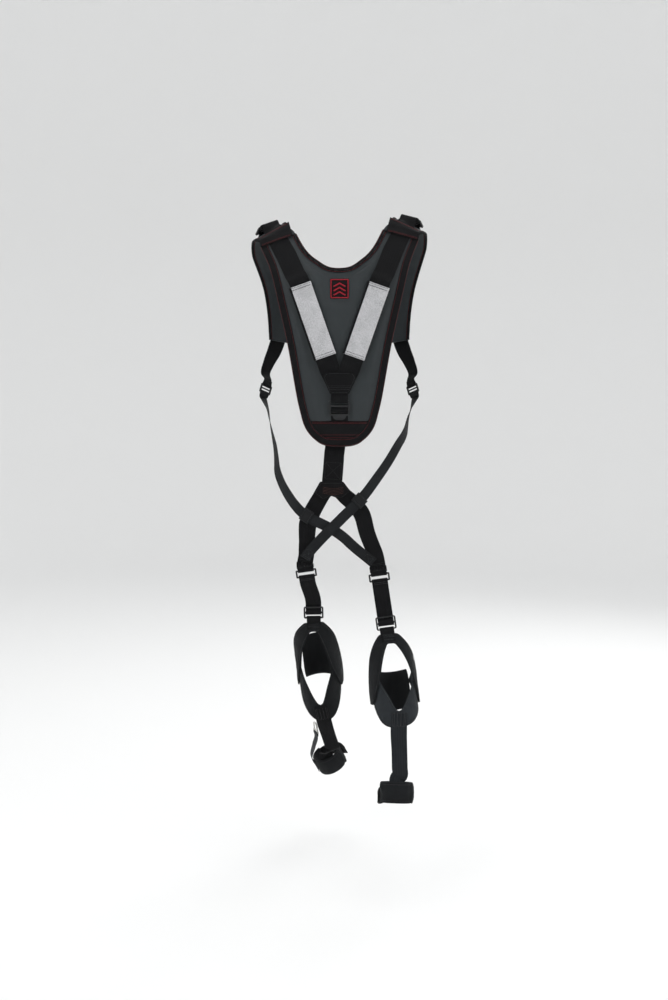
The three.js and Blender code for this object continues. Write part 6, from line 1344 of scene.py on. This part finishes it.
# --------------------------------------------------- shoulders, chest and front
for side_, sg in (("left", -1), ("right", 1)):
    S = Strap("shoulder_strap_" + side_, step=4.0, leaned=True)

    def puff(s, x, n, i, S=S, sg=sg):
        f = min(1, min(s, S.len - s) / 26)
        w = np.array([nz((s, a, 0), 0.035, 2 + sg) * 0.5 for a in x])
        g = -0.9 * np.exp(-((np.abs(x) - S.b[i] / 2 + 10.5) / 1.6) ** 2)
        return np.sign(n) * (w + g) * np.clip(np.abs(n) / 4, 0, 1) - np.sign(n) * np.abs(n) * 0.45 * (1 - f)
    L, U = S.loops(pad_prof(8.6, 4.4, m=26, rim=7.0), puff)
    ob = loft("shoulder_pad_" + side_, L, U, [M["cover"]], half=26 + 6)
    go(ob, "root", "shoulder_strap_" + side_, slot="cover_leatherette")
    # binding tape round both long edges
    for eg in (-1, 1):
        rows, uv = [], []
        for i in range(len(S.s)):
            b = S.b[i] / 2
            f = min(1, min(S.s[i], S.len - S.s[i]) / 26)
            a = np.linspace(-0.5 * math.pi, 0.5 * math.pi, 9)
            t = 2.2 + 0.75
            xo = np.concatenate([[b - 7.5, b - 4], b - 2.0 + 2.5 * np.cos(a), [b - 4, b - 7.5], [b - 7.5, b - 4], b - 2.0 + 1.4 * np.cos(a[::-1]), [b - 4, b - 7.5]])
            no = np.concatenate([[-t, -t], t * np.sin(a), [t, t], [t - 0.8, t - 0.8], (t - 0.8) * np.sin(a[::-1]), [-t + 0.8, -t + 0.8]])
            x = xo * eg
            p = S.P[i] + np.outer(x, S.W[i]) + np.outer(no - S.c[i] * x * x, S.N[i])
            rows.append(p)
            uv.append(np.stack([np.full(len(x), S.s[i]), xo + no], -1))
        L, U = lean(np.array(rows)), np.array(uv)
        ob = loft("shoulder_pad_binding_%s_%s" % (side_, "outer" if eg * sg > 0 else "inner"), L, U, [M["bind"]], cap="ngon")
        go(ob, "root", slot="binding_tape")
        s = np.linspace(2, S.len - 2, 140)
        for off, nn in ((3.05, 1), (-3.05, -1)):
            P, N = S.at(s, eg * (np.interp(s, S.s, S.b) / 2 - 6.6), off)
            stitch(("root", "red"), P, N * nn, pitch=3.6, length=3.0, r=0.45)
    # yoke band
    B_ = Strap("shoulder_band_" + side_, step=3.0, leaned=True)
    L, U = B_.loops(flat_prof(1.5, 16))
    ob = loft("yoke_band_" + side_, L, U[..., ::-1], [M["bind"]], half=22)
    go(ob, "root", "shoulder_band_" + side_, slot="binding_tape")
    for s0 in (2.2, 5.0, B_.len - 5.2, B_.len - 2.4):
        w = np.interp(s0, B_.s, B_.b) / 2 - 3
        strap_stitch(B_, "root", "red", -w, w, s0, s0, pitch=3.6, length=3.0, r=0.5)
    S = strap("side_strap_" + side_, M["web"], leaned=True, m=10, seed=6)
    box_x(S, "root", "dark", 46, 66, 9.5)
    strap("chest_strap_" + side_, M["web"], m=8, seed=7)

# -------------------------------------------------------------------- knees
UPPER = [((0, 14), (0, 37)), ((12, 14), (5, 38)), ((21, 15), (9, 42)), ((30, 24), (13, 52)), ((42, 39), (18, 66)), ((56, 60), (24, 84)), ((68, 86), (30, 104)), ((78, 114), (36, 128)), ((86, 140), (43, 154)), ((93, 164), (52, 178)), ((98, 184), (60, 200)), ((103, 198), (70, 212))]
LOWER = [((0, 294), (0, 247)), ((10, 293.5), (6, 243)), ((21, 291), (11, 234)), ((34, 283), (17, 220)), ((48, 268), (24, 202)), ((61, 248), (31, 186)), ((73, 224), (38, 170)), ((83, 198), (45, 152)), ((92, 172), (54, 132)), ((100, 148), (64, 112)), ((108, 128), (76, 96))]
LEG = {
    "left": dict(end=vec(-36.8, 160, -1213.5), shift=-0.21, cuff=vec(-19.3, 222, -1344.4), er=vec(0.891, 0, 0.454), a=vec(0.43, 0.3, -0.85)),
    "right": dict(end=vec(135.7, -120, -1152.7), shift=0.23, cuff=vec(129.5, -192, -1287.3), er=vec(1, 0, 0.03), a=vec(-0.03, -0.25, -0.97)),
}
CUFF_R, CUFF_T, CUFF_H = 33.0, 5.0, 47.0

for side_, sg in (("left", -1), ("right", 1)):
    G = LEG[side_]
    body = side_ + "_knee"
    kb = np.array(FR["kneeBar_" + side_], float)
    a = G["end"] - kb
    kk_ = np.linalg.norm(a) / 294
    a = a / np.linalg.norm(a)
    eb = unit(vec(0, -1, 0) + a * a[1])
    er = unit(np.cross(eb, a))
    C0 = kb - 55.6 * eb

    def on_knee(s, h, rad, C0=C0, a=a, kk_=kk_, eb=eb, er=er, sh=G["shift"]):
        s, h, rad = np.broadcast_arrays(np.asarray(s, float), np.asarray(h, float), np.asarray(rad, float))
        phi = s / 52 + sh * np.sin(math.pi * np.clip(h / 300, 0, 1))
        d = np.cos(phi)[..., None] * eb + np.sin(phi)[..., None] * er
        return C0 + (h * kk_)[..., None] * a + d * rad[..., None], d

    def band(name, tab, r0, node, mat, rowstitch=False, drop=0.0):
        n1, n2 = 121, 17
        K = len(tab) - 1
        k = np.linspace(-K, K, n1)
        O = crom([t[0] for t in tab], np.abs(k))
        I = crom([t[1] for t in tab], np.abs(k))
        I[:, 1] += drop * np.exp(-(I[:, 0] / 15) ** 2)
        v = np.linspace(0, 1, n2)[:, None]
        s = (I[None, :, 0] + (O - I)[None, :, 0] * v) * np.where(k < 0, -1, 1)[None]
        h = I[None, :, 1] + (O - I)[None, :, 1] * v
        wid = np.linalg.norm(O - I, axis=1)[None]
        e = np.minimum(np.minimum(v, 1 - v) * wid, (K - np.abs(k))[None] * 9 + 0 * v)
        rnd = np.sqrt(np.clip(e / 1.8, 0, 1))
        puff = 0.8 * sstep((e - 3) / 6) - 0.55 * np.exp(-((e - 3.6) / 0.9) ** 2)
        wv = np.array([[nz((s[i, j], h[i, j], r0), 0.04, 5 + sg) * 1.3 + nz((s[i, j] * 1.4, h[i, j] * 0.7, r0), 0.11, 15 + sg) * 0.6 for j in range(n1)] for i in range(n2)])
        mid = r0 + 2.0
        Po, _ = on_knee(s, h, mid + rnd * (1.9 + (puff + wv) * 0.8))
        Pi, _ = on_knee(s, h, mid - rnd * 1.9)
        Uo = np.stack([s, h], -1)
        L = np.concatenate([Po, Pi[:, ::-1]], 1)
        UU = np.concatenate([Uo, Uo[:, ::-1]], 1)
        kq, F = 2 * n1, []
        for i in range(n2 - 1):
            for j in range(kq):
                F.append((i * kq + j, i * kq + (j + 1) % kq, (i + 1) * kq + (j + 1) % kq, (i + 1) * kq + j))
        for r in (0, n2 - 1):
            for j in range(n1 - 1):
                F.append((r * kq + j, r * kq + j + 1, r * kq + kq - 2 - j, r * kq + kq - 1 - j))
        ob = build(name, L.reshape(-1, 3), F, UU.reshape(-1, 2), [M[mat]])
        for fr in (3.6, 5.6):
            for edge_v in (0, 1):
                vv = fr / np.maximum(wid[0], 8)
                vv = vv if edge_v == 0 else 1 - vv
                ss = (I[:, 0] + (O - I)[:, 0] * vv) * np.where(k < 0, -1, 1)
                hh_ = I[:, 1] + (O - I)[:, 1] * vv
                P, N = on_knee(ss, hh_, mid + 2.35)
                if fr > 4 and edge_v == 0:
                    continue
                stitch((body, "dark"), P, N, pitch=3.6, length=3.0, r=0.42)
        if rowstitch:
            for x in np.arange(-12, 12.1, 4):
                hh_ = np.linspace(256, 286, 20)
                P, N = on_knee(np.full(20, x), hh_, mid + 2.7)
                stitch((body, "grey"), P, N, pitch=3.4, length=2.8, r=0.4)
        return ob

    ub = band("knee_wrap_upper_" + side_, UPPER, 54.1, None, "neo", drop=9.0 if sg > 0 else 1.0)
    S = Strap(S=ST["knee_tab_" + side_][1], th=1.6, step=2.0)
    L, U = S.loops(flat_prof(1.6, 8))
    tb = loft("knee_wrap_tab_" + side_, L, U, [M["web"]], half=14)
    go(ub, body, "knee_upper_band_" + side_, slot="neoprene")
    go(tb, body, slot="webbing")
    # three stitch rows below the adjuster
    for hh_ in (22, 25.5, 34):
        x = np.linspace(-13, 13, 16)
        P, N = on_knee(x, np.full(16, hh_), 59.3)
        stitch((body, "grey"), P, N, pitch=3.0, length=2.6)
    lb = band("knee_wrap_lower_" + side_, LOWER, 48.6, None, "neo2" if sg > 0 else "neo", True)
    go(lb, body, "knee_lower_band_" + side_, slot="neoprene")

    # knee pad: moulded panel with ribs
    n1, n2 = 61, 57
    x = np.linspace(-1, 1, n1)[None]
    y = np.linspace(-0.5, 0.5, n2)[:, None]
    rr_ = np.clip(1 - (np.abs(x) ** 5 + (np.abs(y) * 2) ** 5), 0, 1) ** 0.45
    X, Y = np.broadcast_arrays(x, y)
    round_x = X * (1 - 0.1 * (np.abs(Y) * 2) ** 4)
    phi = math.pi + round_x * 1.32 + G["shift"]
    h = 152 - Y * 118 * (1 - 0.06 * np.abs(X) ** 4)
    ribs = 0.9 * np.exp(-(((np.abs(Y * 118) % 23) - 11.5) / 2.2) ** 2) * (np.abs(X) < 0.72)
    d = np.cos(phi)[..., None] * eb + np.sin(phi)[..., None] * er
    ax = C0 + (h * kk_)[..., None] * a
    Po = ax + d * (44.2 + 3.4 * rr_ - ribs * rr_)[..., None]
    Pi = ax + d * (44.2 - 3.0 * rr_)[..., None]
    Uo = np.stack([X * 60, Y * 118], -1)
    L = np.concatenate([Po, Pi[:, ::-1]], 1)
    UU = np.concatenate([Uo, Uo[:, ::-1]], 1)
    kq, F = 2 * n1, []
    for i in range(n2 - 1):
        for j in range(kq):
            F.append((i * kq + j, i * kq + (j + 1) % kq, (i + 1) * kq + (j + 1) % kq, (i + 1) * kq + j))
    for r in (0, n2 - 1):
        for j in range(n1 - 1):
            F.append((r * kq + j, r * kq + j + 1, r * kq + kq - 2 - j, r * kq + kq - 1 - j))
    ob = build("knee_cap_pad_" + side_, L.reshape(-1, 3), F, UU.reshape(-1, 2), [M["neo"]])
    go(ob, body, "knee_pad_" + side_, slot="neoprene")

    S = strap("calf_strap_" + side_, M["calf" if sg > 0 else "web"], body=body, m=12, seed=8)
    for x in (-15, -11.5, -4, 4, 11.5, 15):
        strap_stitch(S, body, "grey", x, x, 3, 34, pitch=3.4, length=2.8)
    strap_stitch(S, body, "grey", -15, 15, 3, 3)
    strap_stitch(S, body, "grey", -15, 15, 34, 34)

    # ankle cuff
    S = Strap("ankle_cuff_" + side_, step=3.0)

    def wr_(s, x, n, i, S=S, sg=sg):
        w = np.array([1.6 * nz((s * 1.3, q * 0.45 + s * 0.35, 0), 0.06, 11 + sg) + 0.8 * nz((s * 1.5, q * 0.6 - s * 0.3, 0), 0.13, 3) for q in x]) * (1.5 if sg > 0 else 1.3) + 0.5
        g = -0.5 * np.exp(-((np.abs(x) - S.b[i] / 2 + 5.5) / 0.9) ** 2)
        return np.where(n > 0, w * 1.0 + g, 0) * np.clip(np.abs(n) / 2, 0, 1)
    plain, _ = S.loops(pad_prof(5.2, 3.2, m=20, rim=3.0))
    L, U = S.loops(pad_prof(5.2, 3.2, m=20, rim=3.0), wr_)
    f = np.minimum(1, np.minimum(S.s, S.len - S.s) / 30)
    sway = np.array([2.6 * nz((q, 0, 0), 0.035, 21 + sg) + 1.3 * nz((q, 0, 0), 0.09, 31 + sg) for q in S.s]) * f
    rim = np.array([1.6 * nz((q, 5, 0), 0.11, 41 + sg) for q in S.s]) * f
    half_b = U[..., 0] / (CUFF_H / 2)
    L = L + S.W[:, None] * (sway[:, None] + rim[:, None] * half_b ** 3)[..., None]
    L = L + S.N[:, None] * (1.3 * (1 - half_b ** 2) * f[:, None] + 0.7 * rim[:, None] * half_b ** 2)[..., None]
    # the band lies flat where its flap and the straps cover it
    near = [Strap("cuff_flap_" + side_, step=2.5), Strap("calf_strap_" + side_)] + ([Strap("shin_strap_left")] if sg < 0 else [])
    cover = np.concatenate([q.P + q.W * (q.b * 0.61 * e)[:, None] for q in near for e in (-1, -0.5, 0, 0.5, 1)])
    gap = np.array([[np.min(np.linalg.norm(cover - v, axis=1)) for v in row] for row in plain])
    L = plain + (L - plain) * sstep((gap - 11) / 9)[..., None]
    ob = loft("cuff_band_" + side_, L, U, [M["neo"]], half=26)
    go(ob, body, "ankle_cuff_" + side_, slot="neoprene")
    s = np.linspace(3, S.len - 3, 70)
    for e in (-1, 1):
        P, N = S.at(s, np.full(70, e * (CUFF_H / 2 - 5.5)), 2.2)
        stitch((body, "dark"), P, N, pitch=3.6, length=3.0)
    # hook-and-loop flap
    S = Strap("cuff_flap_" + side_, step=2.5)
    S.b = S.b * (1 + 0.22 * sstep((S.s - 0.3 * S.len) / (0.5 * S.len)))
    L, U = S.loops(flat_prof(2.4, 14))
    ob = loft("flap_" + side_, L, U, [M["loop"]], half=20)
    go(ob, side_ + "_flap", "cuff_flap_" + side_, slot="neoprene")
    s = np.linspace(2, S.len - 5, 60)
    for e in (-1, 1):
        P, N = S.at(s, e * (np.interp(s, S.s, S.b) / 2 - 2.6))
        stitch((side_ + "_flap", "dark"), P, N, pitch=3.4, length=2.8)

strap("shin_strap_left", M["greyel"], body="left_knee", m=8, slot="grey_elastic", step=2.0)
flush_stitches()

# ------------------------------------------------------- carried-over CAD nodes
for n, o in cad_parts.items():
    if o.hide_render:
        continue
    if n in ("snap_hook", "hook_gate"):
        mat, w = M["steel"], 0.00045
    else:
        mat, w = M["plastic"], 0.0006
    o.data.materials.clear()
    o.data.materials.append(mat)
    bv = o.modifiers.new("edge", "BEVEL")
    bv.width = w
    bv.segments = 3
    bv.limit_method = "ANGLE"
    bv.angle_limit = math.radians(28)
    bv.harden_normals = False
    for p in o.data.polygons:
        p.use_smooth = True
    wn = o.modifiers.new("normals", "WEIGHTED_NORMAL")
    wn.keep_sharp = True

# -------------------------------------------------------------- studio, floor
floor_me = bpy.data.meshes.new("floor")
prof = [(0.0, 0.0), (2.0, 0.0), (5.2, 0.0)] + [(5.2 + 2.4 * math.sin(t), 2.4 - 2.4 * math.cos(t)) for t in np.linspace(0.12, math.pi / 2, 14)] + [(7.6, 8.5)]
vs, fs = [(0, 0, -1.535)], []
seg = 96
for r_, z in prof[1:]:
    vs += [(r_ * math.cos(2 * math.pi * q / seg), r_ * math.sin(2 * math.pi * q / seg), z - 1.535) for q in range(seg)]
for q in range(seg):
    fs.append((0, 1 + q, 1 + (q + 1) % seg))
for i in range(len(prof) - 2):
    for q in range(seg):
        fs.append((1 + i * seg + q, 1 + (i + 1) * seg + q, 1 + (i + 1) * seg + (q + 1) % seg, 1 + i * seg + (q + 1) % seg))
floor_me.from_pydata(vs, [], fs)
floor_me.polygons.foreach_set("use_smooth", np.full(len(fs), True))
floor = bpy.data.objects.new("floor", floor_me)
scene.collection.objects.link(floor)
fm_ = bpy.data.materials.new("studio_floor")
fm_.use_nodes = True
fb = fm_.node_tree.nodes["Principled BSDF"]
fb.inputs["Base Color"].default_value = (0.84, 0.84, 0.836, 1)
fb.inputs["Roughness"].default_value = 0.9
fb.inputs["Specular IOR Level"].default_value = 0.1
floor_me.materials.append(fm_)


def area(name, loc, target, size, energy, color=(1, 1, 1)):
    d = bpy.data.lights.new(name, "AREA")
    d.shape = "RECTANGLE"
    d.size, d.size_y = size
    d.energy = energy
    d.color = color
    o = bpy.data.objects.new(name, d)
    o.location = loc
    o.rotation_euler = (Vector(target) - Vector(loc)).to_track_quat("-Z", "Y").to_euler()
    scene.collection.objects.link(o)


area("key", (-2.4, -2.9, 1.9), (0, 0, -0.5), (2.4, 2.4), 50)
area("fill", (2.9, -2.4, 0.5), (0, 0, -0.7), (2.2, 2.8), 26)
area("top", (0.1, 0.6, 2.6), (0, 0, -0.3), (2.6, 2.0), 30)
area("rim", (1.6, 2.6, 1.0), (0, 0, -0.4), (1.6, 2.4), 30)
world = bpy.data.worlds.new("world")
world.use_nodes = True
world.node_tree.nodes["Background"].inputs[0].default_value = (0.94, 0.95, 0.96, 1)
world.node_tree.nodes["Background"].inputs[1].default_value = 1.05
scene.world = world
